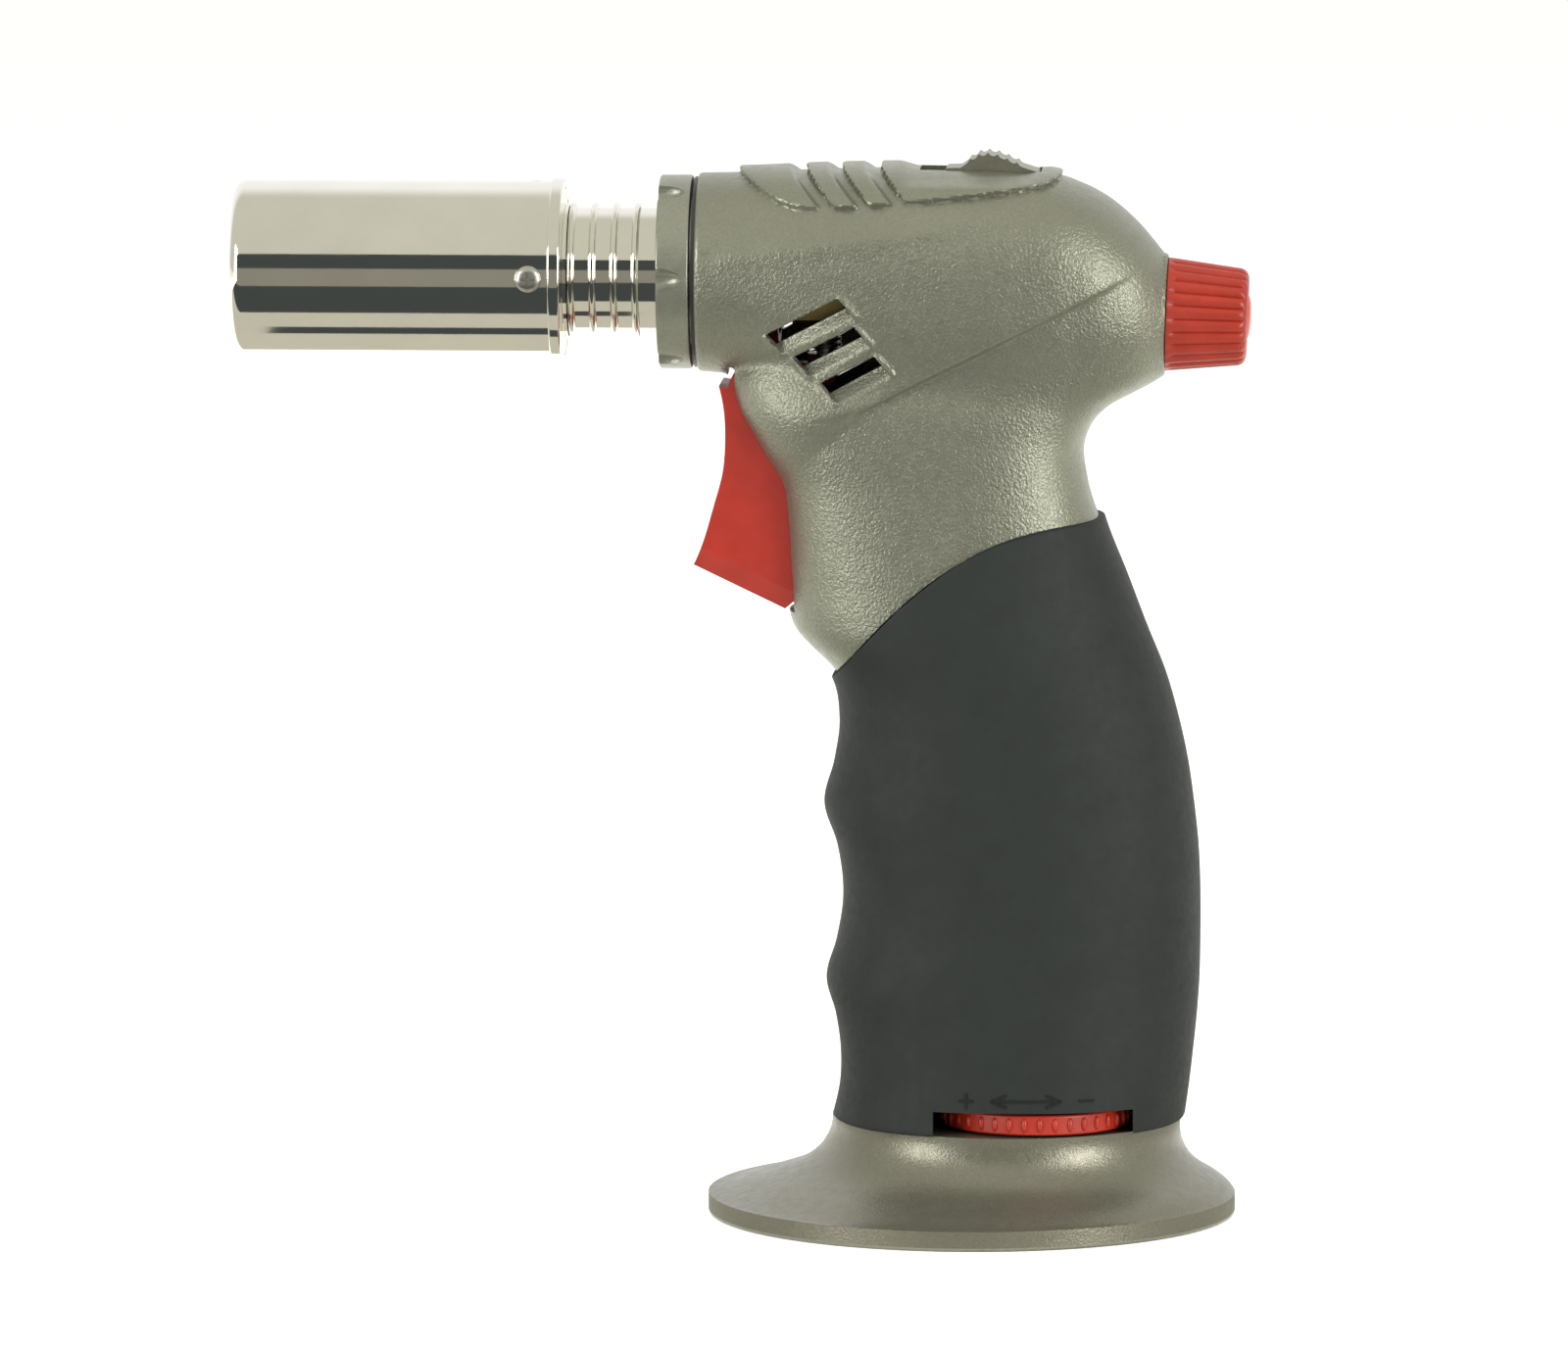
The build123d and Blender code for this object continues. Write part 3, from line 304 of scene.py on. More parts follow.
cards = [
    # The first card is a painted shadow: a narrow dark strip on the table just in front of the
    # burner tube, standing in for the tube's own shadow as the chrome reflects it.
    ("card_shadow", lying(-0.045, -0.020, 0.026, 0.0007, -0.077), DARK),
    ("card_under", lying(-0.106, 0.06, 0.6, 0.0005), CREAM),
    ("card_table_near", lying(-0.45, -0.106), DARK),
    ("card_table_far", lying(-0.8, -0.45), WARM),
    ("card_low", standing(0.0006, 0.22), WARM),
    ("card_high", standing(0.22, 0.5), DARK),
]
for card_name, corners, colour in cards:
    reflection_card(card_name, corners, colour, 1.0)
print("light: 3 panels,", len(cards), "cards")

# %% [markdown]
# ## Finishes
# The casing and the foot are sprayed with metallic paint. The casing has a fine leather-like spark
# texture in the mould, under half a millimetre from bump to bump, which is weaker on the roof.
# The grip has a soft-touch coating. A picture could be wrapped on each part, but it would need
# seams and would stretch. Noise on the object's own coordinates has no seams and stays put.

# %% Node helpers
def linear(red, green, blue):
    """A colour given in screen values from 0 to 255, as the shader wants it."""
    screen = [value / 255 for value in (red, green, blue)]
    light = [((v + 0.055) / 1.055) ** 2.4 if v > 10 / 255 else v / 12.92 for v in screen]
    return (*light, 1.0)


class Finish:
    """A material in the making: add() makes a node and joins its inputs."""

    def __init__(self, name, colour, rough, metallic=0.0, **sockets):
        self.material = bpy.data.materials.new(name)
        self.material.use_nodes = True
        self.tree = self.material.node_tree
        self.shader = self.tree.nodes["Principled BSDF"]
        self.shader.inputs["Base Color"].default_value = colour
        self.shader.inputs["Roughness"].default_value = rough
        self.shader.inputs["Metallic"].default_value = metallic
        for socket, value in sockets.items():
            self.shader.inputs[socket.replace("_", " ")].default_value = value
        self.place = self.tree.nodes.new("ShaderNodeTexCoord").outputs["Object"]

    def add(self, kind, settings=(), inputs=()):
        node = self.tree.nodes.new(kind)
        for key, value in dict(settings).items():
            setattr(node, key, value)
        for key, value in dict(inputs).items():
            if isinstance(value, bpy.types.NodeSocket):
                self.tree.links.new(value, node.inputs[key])
            else:
                node.inputs[key].default_value = value
        return node

    def noise(self, scale, detail=2.0, roughness=0.5, place=None):
        inputs = {"Vector": place or self.place, "Scale": scale}
        inputs.update({"Detail": detail, "Roughness": roughness})
        return self.add("ShaderNodeTexNoise", inputs=inputs).outputs["Fac"]

    def ramp(self, value, low, high, to_low=0.0, to_high=1.0):
        inputs = {"Value": value, "From Min": low, "From Max": high}
        inputs.update({"To Min": to_low, "To Max": to_high})
        return self.add("ShaderNodeMapRange", inputs=inputs).outputs["Result"]

    def maths(self, operation, a, b=0.0):
        return self.add("ShaderNodeMath", {"operation": operation}, {0: a, 1: b}).outputs[0]

    def mix(self, share, a, b):
        node = self.add("ShaderNodeMix", {"data_type": "RGBA"})
        sockets = (node.inputs["Factor"], node.inputs[6], node.inputs[7])
        for socket, value in zip(sockets, (share, a, b)):
            if isinstance(value, bpy.types.NodeSocket):
                self.tree.links.new(value, socket)
            else:
                socket.default_value = value
        return node.outputs[2]

    def bump(self, height, distance, strength=1.0, normal=None):
        inputs = {"Height": height, "Distance": distance, "Strength": strength}
        if normal is not None:
            inputs["Normal"] = normal
        return self.add("ShaderNodeBump", inputs=inputs).outputs["Normal"]

    def set(self, **links):
        for socket, value in links.items():
            self.tree.links.new(value, self.shader.inputs[socket.replace("_", " ")])
        return self.material


def shade(colour, factor):
    """A lighter or darker shade of a colour."""
    return tuple(v * factor for v in colour[:3]) + (1.0,)


# %% [markdown]
# Metallic paint is grey with tiny flakes that lie at different angles. The flakes are the cells of
# a Voronoi pattern in slightly different tones, and a slow cloud of noise keeps large areas from
# looking flat. The mould's texture under the paint is a bump of two noises.

# %% Metallic paint of the casing and the foot
def paint(name, colour, grain_scale, grain_depth, roof=False):
    """Metallic paint over a mould texture, which is weaker on the casing's roof."""
    finish = Finish(name, colour, 0.38, 0.7)
    flakes = finish.add(
        "ShaderNodeTexVoronoi", inputs={"Vector": finish.place, "Scale": 5200.0, "Randomness": 1.0}
    ).outputs["Color"]
    flake = finish.add("ShaderNodeSeparateColor", inputs={0: flakes}).outputs[0]
    cloud = finish.noise(90.0, 3.0)
    flake_share = finish.ramp(flake, 0.0, 1.0, 0.0, 0.55)
    tone = finish.mix(flake_share, shade(colour, 0.88), shade(colour, 1.2))
    tone = finish.mix(finish.ramp(cloud, 0.35, 0.65, 0.0, 0.22), tone, shade(colour, 0.78))
    grain = finish.noise(grain_scale, 1.5, 0.55)
    fine = finish.noise(grain_scale * 2.6, 1.0)
    height = finish.maths("ADD", grain, finish.maths("MULTIPLY", fine, 0.35))
    if roof:
        axes = finish.add("ShaderNodeSeparateXYZ", inputs={0: finish.place})
        line_front = finish.maths("ADD", finish.maths("MULTIPLY", axes.outputs[0], 0.138), 0.1325)
        line_rear = finish.maths("ADD", finish.maths("MULTIPLY", axes.outputs[0], 0.314), 0.1337)
        line = finish.maths("MAXIMUM", line_front, line_rear)
        above = finish.ramp(finish.maths("SUBTRACT", axes.outputs[2], line), -0.0008, 0.0008)
        strength = finish.ramp(above, 0.0, 1.0, 1.0, 0.3)
        height = finish.maths("MULTIPLY", height, strength)
    normal = finish.bump(height, grain_depth, 0.85)
    rough = finish.ramp(finish.noise(700.0, 2.0), 0.3, 0.7, 0.29, 0.39)
    return finish.set(Base_Color=tone, Roughness=rough, Normal=normal)


casing_paint = paint("casing_paint", linear(134, 135, 121), 2500.0, 0.00016, roof=True)
foot_paint = paint("foot_paint", linear(126, 124, 111), 3000.0, 0.00005)
print("paints ready")


# %% [markdown]
# Moulded plastic, coated rubber and plated metal differ in gloss and grain, not in kind, so one
# function makes the mouldings and another the metals. Each has a faint mottle in its colour and
# its gloss, as handled parts have.

# %% Soft-touch coating, moulded colours and metals
def moulded(name, colour, rough, grain=0.00001, gloss=0.5, scale=2500.0):
    """Moulded plastic or rubber: faint mottle in its colour and a fine mould texture."""
    finish = Finish(name, colour, rough, Specular_IOR_Level=gloss)
    mottle = finish.ramp(finish.noise(260.0, 3.0), 0.35, 0.65)
    tone = finish.mix(mottle, shade(colour, 0.93), shade(colour, 1.06))
    roughness = finish.ramp(finish.noise(900.0, 2.0), 0.3, 0.7, rough - 0.04, rough + 0.05)
    normal = finish.bump(finish.noise(scale, 2.0), grain, 0.6)
    return finish.set(Base_Color=tone, Roughness=roughness, Normal=normal)


def metal(name, colour, rough, scratches=0.000004, stretch=(1.0, 1.0, 1.0)):
    """Bare or plated metal: handling marks in its gloss and hair-fine lines in its surface."""
    finish = Finish(name, colour, rough, 1.0)
    stretched = finish.add("ShaderNodeMapping", inputs={"Vector": finish.place, "Scale": stretch})
    lines = finish.noise(1600.0, 3.0, 0.6, stretched.outputs[0])
    smears = finish.noise(110.0, 4.0, 0.6)
    tone = finish.mix(finish.ramp(smears, 0.3, 0.75), colour, shade(colour, 0.93))
    roughness = finish.ramp(smears, 0.35, 0.75, rough, rough * 1.6 + 0.01)
    normal = finish.bump(lines, scratches, 0.5)
    return finish.set(Base_Color=tone, Roughness=roughness, Normal=normal)


chrome = (0.86, 0.845, 0.775, 1.0)
finishes = {
    "grip_rubber": moulded("grip_coating", linear(34, 38, 37), 0.62, 0.000012, 0.22),
    "seal_rubber": moulded("seal_rubber", linear(35, 35, 34), 0.55),
    "black_plastic": moulded("black_plastic", linear(38, 38, 40), 0.42),
    "white_plastic": moulded("white_plastic", linear(220, 218, 208), 0.4),
    "white_ceramic": moulded("white_ceramic", linear(232, 228, 216), 0.3),
    "bright_chrome": metal("bright_chrome", chrome, 0.045, 0.000002, (0.25, 1.0, 1.0)),
    "steel": metal("steel", (0.6, 0.59, 0.56, 1.0), 0.24),
    "brass": metal("brass", (0.56, 0.45, 0.2, 1.0), 0.26),
    "aluminium": metal("aluminium", (0.72, 0.72, 0.7, 1.0), 0.3),
    "grey_plastic": casing_paint,
}
trigger_red = moulded("trigger_red", linear(148, 27, 9), 0.4, 0.000001)
knob_red = moulded("knob_red", linear(140, 33, 15), 0.36, 0.000008)
wheel_red = moulded("wheel_red", linear(158, 36, 20), 0.34, 0.000006)
cap_red = moulded("cap_red", linear(170, 50, 36), 0.2, 0.000004)
print("finishes:", sorted(finishes))

# %% [markdown]
# Most of the CAD parts already have the right shape and only need their finish. The record says
# which material slot each part belongs to. A few parts have a shade of their own.

# %% Give every CAD part its finish
slot_of = {}
for entry in frame["record"]["materials"]:
    for name in entry.get("nodes", []):
        slot_of[name] = entry["slot"]
own_finish = {
    "foot_shell": foot_paint,
    "nose_washer": finishes["black_plastic"],
    "trigger": trigger_red,
    "flame_knob": knob_red,
    "knob_cap": cap_red,
    "gas_wheel": wheel_red,
    "air_collar": paint("collar_paint", linear(143, 144, 131), 3000.0, 0.00004),
}
for name, node in nodes.items():
    imported = node.data.materials[0].name.split(".")[0] if node.data.materials else "steel"
    finish = own_finish.get(name) or finishes[slot_of.get(name, imported)]
    node.data.materials.clear()
    node.data.materials.append(finish)
print("finished", len(nodes), "CAD parts")


# %% Place a new piece
def place(piece, body, slot, *replaced, finish=None):
    """Gives a piece its finish and its body, and hides the CAD parts that it stands for."""
    piece.data.materials.clear()
    piece.data.materials.append(finish or finishes[slot])
    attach(piece, body)
    if replaced:
        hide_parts(*replaced)
    print(piece.name, "rides on", body, "-", len(piece.data.polygons), "faces")


# %% [markdown]
# ## The body as a formula
# The handle is a stack of squared ovals, each with its own front edge, rear edge and half width,
# and the head is a row of them along the burner's axis. A formula says how far any point is from
# the surface. Two such shapes blend by taking a softened minimum, and ribs, steps and edges are
# added to the distance, as a mould maker adds them to the tool. A subdivided cage would be quicker
# to draw, but its edges would wander where the head, the neck and the handle run together.

# %% Levels of the handle and the head
AXIS = 125.2  # height of the burner's axis
FOOT_TOP = 13.2

# Height, front edge, rear edge and half width of the handle.
handle_levels = np.array([
    (FOOT_TOP, -18.4, 28.3, 23.4), (17.5, -17.5, 28.9, 22.9), (22, -17.4, 29.4, 22.4),
    (27, -18.1, 29.9, 21.9), (31.6, -19.3, 30.2, 21.5), (36.5, -18, 30.3, 21.2),
    (42.5, -17.1, 30.3, 20.8), (49.5, -17.9, 30, 20.4), (55, -19.6, 29.4, 20),
    (60.5, -18.3, 28.6, 19.6), (66, -17.6, 27.4, 19.1), (72, -18.8, 25.7, 18.6),
    (78.5, -24.6, 23.1, 17.9), (85, -25.4, 20.6, 17), (92, -25.7, 17.8, 16.2),
    (98, -26.4, 16.1, 15.7), (103, -28.4, 15.8, 15.4), (108, -31.2, 18.3, 14.9),
    (112.5, -32, 23, 13.6), (116, -30, 22.5, 12.5),
])
# Place along the head, lower edge, upper edge, half width and squareness of the head.
head_levels = np.array([
    (-36.3, 112.1, 138.3, 13.1, 2.0), (-30, 111.6, 138.4, 13.7, 2.15),
    (-20, 109.5, 138.8, 14.9, 2.45), (-6, 107.5, 139, 15.8, 2.6), (6, 107, 138.5, 15.9, 2.6),
    (13, 107.6, 137.6, 15.1, 2.5), (18, 108.6, 135.2, 13.6, 2.35), (22, 110.2, 131.8, 11.2, 2.2),
    (25.3, 111.9, 127.9, 8.0, 2.0),
])
# Place and height of the joint between the casing and the grip.
joint_points = np.array([
    (-26.0, 62.0), (-18.6, 71.8), (-9.3, 82.1), (1.8, 89.8), (10.0, 92.4), (17.8, 93.1),
    (26.0, 93.0),
])


def dense(table, steps=20000):
    """The table's columns as smooth curves of its first column, sampled finely."""
    x = table[:, 0]
    at = np.linspace(x[0], x[-1], steps)
    i = np.clip(np.searchsorted(x, at) - 1, 0, len(x) - 2)
    length = x[i + 1] - x[i]
    s = (at - x[i]) / length
    columns = [at]
    for k in range(1, table.shape[1]):
        y = table[:, k]
        slope = np.gradient(y, x)
        columns.append(
            (2 * s**3 - 3 * s**2 + 1) * y[i] + (s**3 - 2 * s**2 + s) * length * slope[i]
            + (3 * s**2 - 2 * s**3) * y[i + 1] + (s**3 - s**2) * length * slope[i + 1]
        )
    return columns


handle_curves, head_curves = dense(handle_levels), dense(head_levels)
joint_curves = dense(joint_points)


def read(curves, at, column):
    """One column of a sampled table, at any place."""
    return np.interp(at, curves[0], curves[column])


def ease(value, low, high):
    """A smooth rise from 0 at low to 1 at high."""
    share = np.clip((value - low) / (high - low), 0.0, 1.0)
    return share * share * (3 - 2 * share)


def handle_power(z):
    """How squared the handle's ovals are. They get squarer towards the head."""
    return 2.35 + 0.65 * np.clip((z - 80) / 22, 0, 1)


def oval_distance(u, v, half_u, half_v, power):
    """How far a point is outside a squared oval."""
    u, v = np.maximum(np.abs(u), 1e-4), np.maximum(np.abs(v), 1e-4)
    pu, pv = (u / half_u) ** power, (v / half_v) ** power
    size = (pu + pv) ** (1 / power)
    return (size - 1) / (np.hypot(pu / u, pv / v) * size ** (1 - power))


def soften(a, b, reach):
    """The smaller of two distances, with a fillet where they are nearly equal."""
    share = np.clip(0.5 + 0.5 * (b - a) / reach, 0, 1)
    return b + (a - b) * share - reach * share * (1 - share)


def handle_distance(x, y, z):
    front, rear, half = (read(handle_curves, z, column) for column in (1, 2, 3))
    return oval_distance(x - (front + rear) / 2, y, (rear - front) / 2, half, handle_power(z))


def head_distance(x, y, z):
    low, high, half, power = (read(head_curves, x, column) for column in (1, 2, 3, 4))
    return oval_distance(y, z - (low + high) / 2, half, (high - low) / 2, power)


nose_face, rear_face, knob_height = 36.3, 25.48, 119.9
tilt_cos, tilt_sin = 0.99939, 0.0349  # the knob and the casing's rear face lean by two degrees
handle_top = 116


def body_distance(x, y, z, inset=0.0):
    """The plain body: head and handle, drawn in by inset."""
    head = head_distance(x, y, z) + inset
    front = nose_face - inset * 0.75
    head = -soften(-head, x + front, 0.6)
    end = rear_face - inset - (x * tilt_cos - (z - knob_height) * tilt_sin)
    head = -soften(-head, end, 0.25)
    handle = np.maximum(handle_distance(x, y, z) + inset, z - handle_top)
    return soften(head, handle, 1.0 + 2.6 * ease(x, -30, -14))


print("handle levels:", len(handle_levels), "head levels:", len(head_levels))

# %% [markdown]
# Three things stand on the plain body. A shoulder line runs up the side towards the knob, and the
# upper shell is a millimetre proud of what lies below it. Raised pads on the roof, leaning
# forward, give the thumb a hold. And the roof turns over into the side along a soft edge. They
# could be a bump in the finish, but they show in the outline, so they are added to the distance.

# %% Relief on the casing
def shoulder_line(x):
    """Height of the shoulder line."""
    return 104.0 + (x + 22.2) * (24.2 / 48.1)


pad_lean, pad_foot = 0.92, 134.8


def pads(x, z):
    """Height of the raised pads over the roof."""
    along = x + pad_lean * (z - pad_foot)
    soft = 0.55
    front_line = np.interp(
        x, [-31.0, -28.0, -25.3, -23.0, -19.8], [139.0, 137.0, 135.5, 134.8, 134.7]
    )
    height = ease(z - front_line, -soft, soft) * ease(-19.8 - along, -0.25, 0.35)
    height = height * ease(x, -31.6, -30.9)
    for start, end, foot in ((-17.8, -14.7, 134.9), (-12.9, -9.8, 135.2)):
        pad = ease(along - start, -0.3, 0.3) * ease(end - along, -0.3, 0.3)
        height = np.maximum(height, pad * ease(z - foot, -0.35, 0.35))
    panel_line = np.interp(x, [-7.1, 2.9, 9.5, 12.1], [135.6, 136.6, 137.5, 138.6])
    panel = ease(along + 7.8, -0.3, 0.3) * ease(z - panel_line, -0.4, 0.4) * ease(14.4 - x, 0, 3.2)
    crest = np.interp(
        x, [-9.6, -7.4, 0.0, 7.0, 10.0, 12.0, 14.0], [1.0, 0.3, 0.3, 0.5, 1.1, 1.0, 0.4]
    )
    flank = np.maximum(crest, 0.95)
    return np.maximum(height, panel * (flank + (crest - flank) * ease(z, 137.2, 138.3)))


# %% [markdown]
# The three air slots are louvres: below each hole a floor slopes out to the surface, and a low lip
# closes each end. Floors and lips are part of the formula, and the holes are cut later.

# %% Louvres round the air slots
# Upper front corner and length of each slot, the direction that it runs in, and the way down from
# its upper edge to where its floor meets the surface.
louvre_slots = [(-26.8, 118.05, 10.9), (-23.2, 115.05, 9.2), (-19.6, 111.7, 8.1)]
louvre_run = np.array([0.885, 0.466])
louvre_down = np.array([2.3, -2.55])
hole_share, floor_depth, lip_height, lip_width = 0.53, 1.25, 0.36, 0.42


def louvre_place(x, z, start_x, start_z):
    """Distance along a slot, and share of the way down across it."""
    across = louvre_run[0] * louvre_down[1] - louvre_run[1] * louvre_down[0]
    dx, dz = x - start_x, z - start_z
    along = (dx * louvre_down[1] - dz * louvre_down[0]) / across
    down = (dz * louvre_run[0] - dx * louvre_run[1]) / across
    return along, down


def louvres(x, z):
    """Depth of the sloping floors below the air slots, less the lips at their ends."""
    depth = np.zeros_like(x)
    for start_x, start_z, length in louvre_slots:
        along, down = louvre_place(x, z, start_x, start_z)
        between = ease(along, 0.0, 0.25) * ease(length - along, 0.0, 0.25)
        between = between * ease(down, -0.02, 0.04)
        floor = np.clip((1 - down) / (1 - hole_share), 0, 1) * floor_depth
        end = np.minimum(np.abs(along + 0.25), np.abs(along - length - 0.25)) / lip_width
        lip = np.sqrt(np.clip(1 - end**2, 0, 1))
        lip = lip * ease(down, -0.1, 0.08) * ease(1.12 - down, 0, 0.14)
        depth += between * floor - lip_height * lip
    return depth


shoulder_step, pad_height, edge_height, edge_width = 1.05, 0.9, 0.22, 1.3
casing_thick, casing_foot = 2.3, 70.9


def casing_outside(x, y, z):
    """The body with its shoulder, pads, roof edge and louvres."""
    body = body_distance(x, y, z)
    fade = 1.0 + 1.1 * np.maximum(-14.0 - x, 0)
    rise = (z - shoulder_line(x)) / fade
    turn = np.maximum(127.7 + (x + 35) * 0.138, 131.6 + (x + 6.8) * 0.314)
    edge = edge_height * np.exp(-(((z - turn) / edge_width) ** 2))
    edge = edge * ease(x, -35, -30) * (1 - ease(x, 9, 15))
    proud_nose = ease(z, 97, 104) * (1 - ease(x, -28, -19))
    low = shoulder_step * (1 - proud_nose) * (1 - ease(rise, -0.4, 0.4)) * (1 - ease(x, 13.0, 25.0))
    return body + low - pad_height * pads(x, z) * (z > 130) - edge + louvres(x, z)


def casing_wall(x, y, z):
    """The casing as a hollow moulding, open nowhere but closed at its foot."""
    wall = np.maximum(casing_outside(x, y, z), -body_distance(x, y, z, casing_thick))
    return np.maximum(wall, casing_foot - z)


print("slots:", len(louvre_slots))

# %% [markdown]
# To turn the formula into a mesh, a grid of cells is laid over the casing. Every cell that the
# surface crosses gets one point, and neighbouring points are joined by quads. The points are then
# drawn onto the exact surface by Newton's method.

# %% Net over a formula
def surface_net(field, low, high, step, rounds=4):
    """Points and quads of the surface where a field of distances is nought."""
    axes = [np.arange(low[k], high[k] + step, step) for k in range(3)]
    value = np.empty([len(axis) for axis in axes])
    for i, x in enumerate(axes[0]):
        y, z = np.meshgrid(axes[1], axes[2], indexing="ij")
        value[i] = field(np.full_like(y, x), y, z)
    inside = value < 0
    cells = [n - 1 for n in value.shape]
    corners = [(i, j, k) for i in (0, 1) for j in (0, 1) for k in (0, 1)]
    count = np.zeros(cells, np.int8)
    for i, j, k in corners:
        count += inside[i : i + cells[0], j : j + cells[1], k : k + cells[2]]
    cell = np.argwhere((count > 0) & (count < 8))
    index = np.full(cells, -1)
    index[tuple(cell.T)] = np.arange(len(cell))
    total, hits = np.zeros((len(cell), 3)), np.zeros((len(cell), 1))
    for a in corners:
        for axis in range(3):
            if a[axis]:
                continue
            b = tuple(1 if k == axis else a[k] for k in range(3))
            va, vb = (value[tuple((cell + np.array(c)).T)] for c in (a, b))
            crosses = (va < 0) != (vb < 0)
            share = np.where(crosses, va / np.where(crosses, va - vb, 1), 0)
            point = np.array(a, float) + share[:, None] * (np.array(b) - np.array(a))
            total += np.where(crosses[:, None], point, 0)
            hits += crosses[:, None]
    points = np.array([axis[0] for axis in axes]) + (cell + total / hits) * step
    quads = []
    for axis in range(3):
        first, second = (axis + 1) % 3, (axis + 2) % 3
        here = [slice(0, n) for n in cells]
        there = [slice(1, n + 1) if k == axis else slice(0, n) for k, n in enumerate(cells)]
        start, end = inside[tuple(here)], inside[tuple(there)]
        edge = np.argwhere(start != end)
        edge = edge[(edge[:, first] > 0) & (edge[:, second] > 0)]
        around = []
        for du, dv in ((1, 1), (0, 1), (0, 0), (1, 0)):
            shifted = edge.copy()
            shifted[:, first] -= du
            shifted[:, second] -= dv
            around.append(index[tuple(shifted.T)])
        quad = np.stack(around, 1)
        outward = start[tuple(edge.T)]
        quad[~outward] = quad[~outward][:, ::-1]
        quads.append(quad)
    nudge = 0.02
    for _ in range(rounds):
        x, y, z = points.T
        here = field(x, y, z)
        slope = np.stack([
            field(x + nudge, y, z) - field(x - nudge, y, z),
            field(x, y + nudge, z) - field(x, y - nudge, z),
            field(x, y, z + nudge) - field(x, y, z - nudge),
        ], 1) / (2 * nudge)
        move = -here[:, None] * slope / np.maximum((slope**2).sum(1), 0.05)[:, None]
        length = np.linalg.norm(move, axis=1)
        points += move * np.minimum(1, 0.3 * step / np.maximum(length, 1e-9))[:, None]
    return points, np.concatenate(quads)


net_step = 0.4
net_low, net_high = (-37.5, -19.6, 70.0), (26.5, 19.6, 141.5)
net_points, net_quads = surface_net(casing_wall, net_low, net_high, net_step)
shell = make_piece("casing_shell", net_points, net_quads)
print("casing net:", len(net_points), "points")

# %% [markdown]
# The openings have crisp edges, so they are cut from the net with closed blocks: the joint with
# the grip, the trigger's slot, the recess of the lock slide, the bores at both ends, the air slots
# and the sunk screw holes on the far side.

# %% Openings in the casing
screw_places = [(5.0, 128.5), (14.5, 109.5), (-9.0, 104.5)]
joint_top = [(x, float(read(joint_curves, x, 1)) + 0.1) for x in np.linspace(-26, 26, 60)]
knob_way = Vector((math.cos(math.radians(2)), 0, -math.sin(math.radians(2))))
knob_origin = Vector((25.3, 0, knob_height))
cutters = [
    side_cutter(joint_top + [(26, 60), (-26, 60)]),
    block(-60, -18, -6.3, 6.3, 80.6, 111.2),
    block(-32.4, -18.5, -6.3, 6.3, 110, 114.2),
    block(-6.9, 9.1, -3.7, 3.7, 137.2, 150),
    block(-3.2, 4.9, -1.7, 1.7, 130, 138),
    spun("bore", (-38, 0, AXIS), (1, 0, 0), [(0, 10.5), (4, 10.5)], closed=False),
    spun("bore", knob_origin - knob_way * 6, knob_way, [(0, 3.24), (9, 3.24)], closed=False),
]
for x, z, length in louvre_slots:
    start, run, down = np.array((x, z)), louvre_run * length, louvre_down * hole_share
    slot_corners = (start, start + run, start + run + down * 0.95, start + down)
    cutters.append(side_cutter([tuple(corner) for corner in slot_corners]))
pocket = [(0, 2.3), (20, 2.3)]
for x, z in screw_places:
    cutters.append(spun("hole", (x, 6, z), (0, 1, 0), pocket, around=48, closed=False))
for cutter in cutters:
    combine(shell, cutter, "DIFFERENCE")
print("casing cut by", len(cutters), "blocks")

# %% [markdown]
# The casing is moulded in two halves that meet in the torch's middle plane, with a hair-fine gap.

# %% Two halves, with their finish
for name, low, high in (("casing_left", -30, -0.03), ("casing_right", 0.03, 30)):
    half = shell.copy()
    half.data = shell.data.copy()
    half.name = "skin_" + name
    bpy.context.scene.collection.objects.link(half)
    combine(half, block(-60, 60, low, high, 50, 160), "INTERSECT")
    finish_shading(half, 38)
    place(half, "root", "grey_plastic", name)
bpy.data.objects.remove(shell)

# %% [markdown]
# ## The grip
# The grip is the handle's lower part. Its rings go from the foot to the joint line, so the top
# ring lies exactly along the joint and stays crisp, which a net of even cells would blur. It is
# made with its wall: out, over the rim and down inside.

# %% Grip
def handle_ring(z, turns, inset):
    """A ring of points round the handle, each at its own height."""
    front, rear = read(handle_curves, z, 1), read(handle_curves, z, 2)
    half, power = read(handle_curves, z, 3) - inset, handle_power(z)
    half_length = (rear - front) / 2 - inset
    c, s = np.cos(turns), np.sin(turns)
    r = ((np.abs(c) / half_length) ** power + (np.abs(s) / half) ** power) ** (-1 / power)
    return np.stack([(front + rear) / 2 + r * c, r * s, z], 1)


grip_around, grip_rows, inner_rows, grip_wall = 224, 150, 60, 2.0
turns = np.linspace(0, 2 * np.pi, grip_around, endpoint=False)
top = np.full(grip_around, 85.0)
for _ in range(40):
    top = 0.5 * top + 0.5 * read(joint_curves, handle_ring(top, turns, 0)[:, 0], 1)
rows = [(0.0, 0.35, 0.0), (0.0, 0.1, 0.12), (0.0, 0.0, 0.35)]
rows += [(k / grip_rows, 0.0, 0.35) for k in range(1, grip_rows)]
rows += [(1.0, 0.0, -0.2), (1.0, 0.06, -0.06), (1.0, 0.2, 0.0), (1.0, grip_wall, 0.0)]
rows += [(1 - k / inner_rows, grip_wall, 0.0) for k in range(1, inner_rows + 1)]
rings = []
for share, inset, lift in rows:
    z = FOOT_TOP + share * (top - FOOT_TOP) + lift * (1 if share in (0.0, 1.0) else 1 - share)
    rings.append(handle_ring(z, turns, inset))
grip = make_piece("skin_grip", np.concatenate(rings), ring_faces(len(rows), grip_around))
fix_outside(grip)
wheel_x, wheel_y, half_slot = 8.8, -10.1, 13.1
slot = block(wheel_x - half_slot, wheel_x + half_slot, -40, wheel_y, 13.0, 16.5)
combine(grip, slot, "DIFFERENCE")
finish_shading(grip, 34)
place(grip, "root", "grip_rubber", "grip_shell")

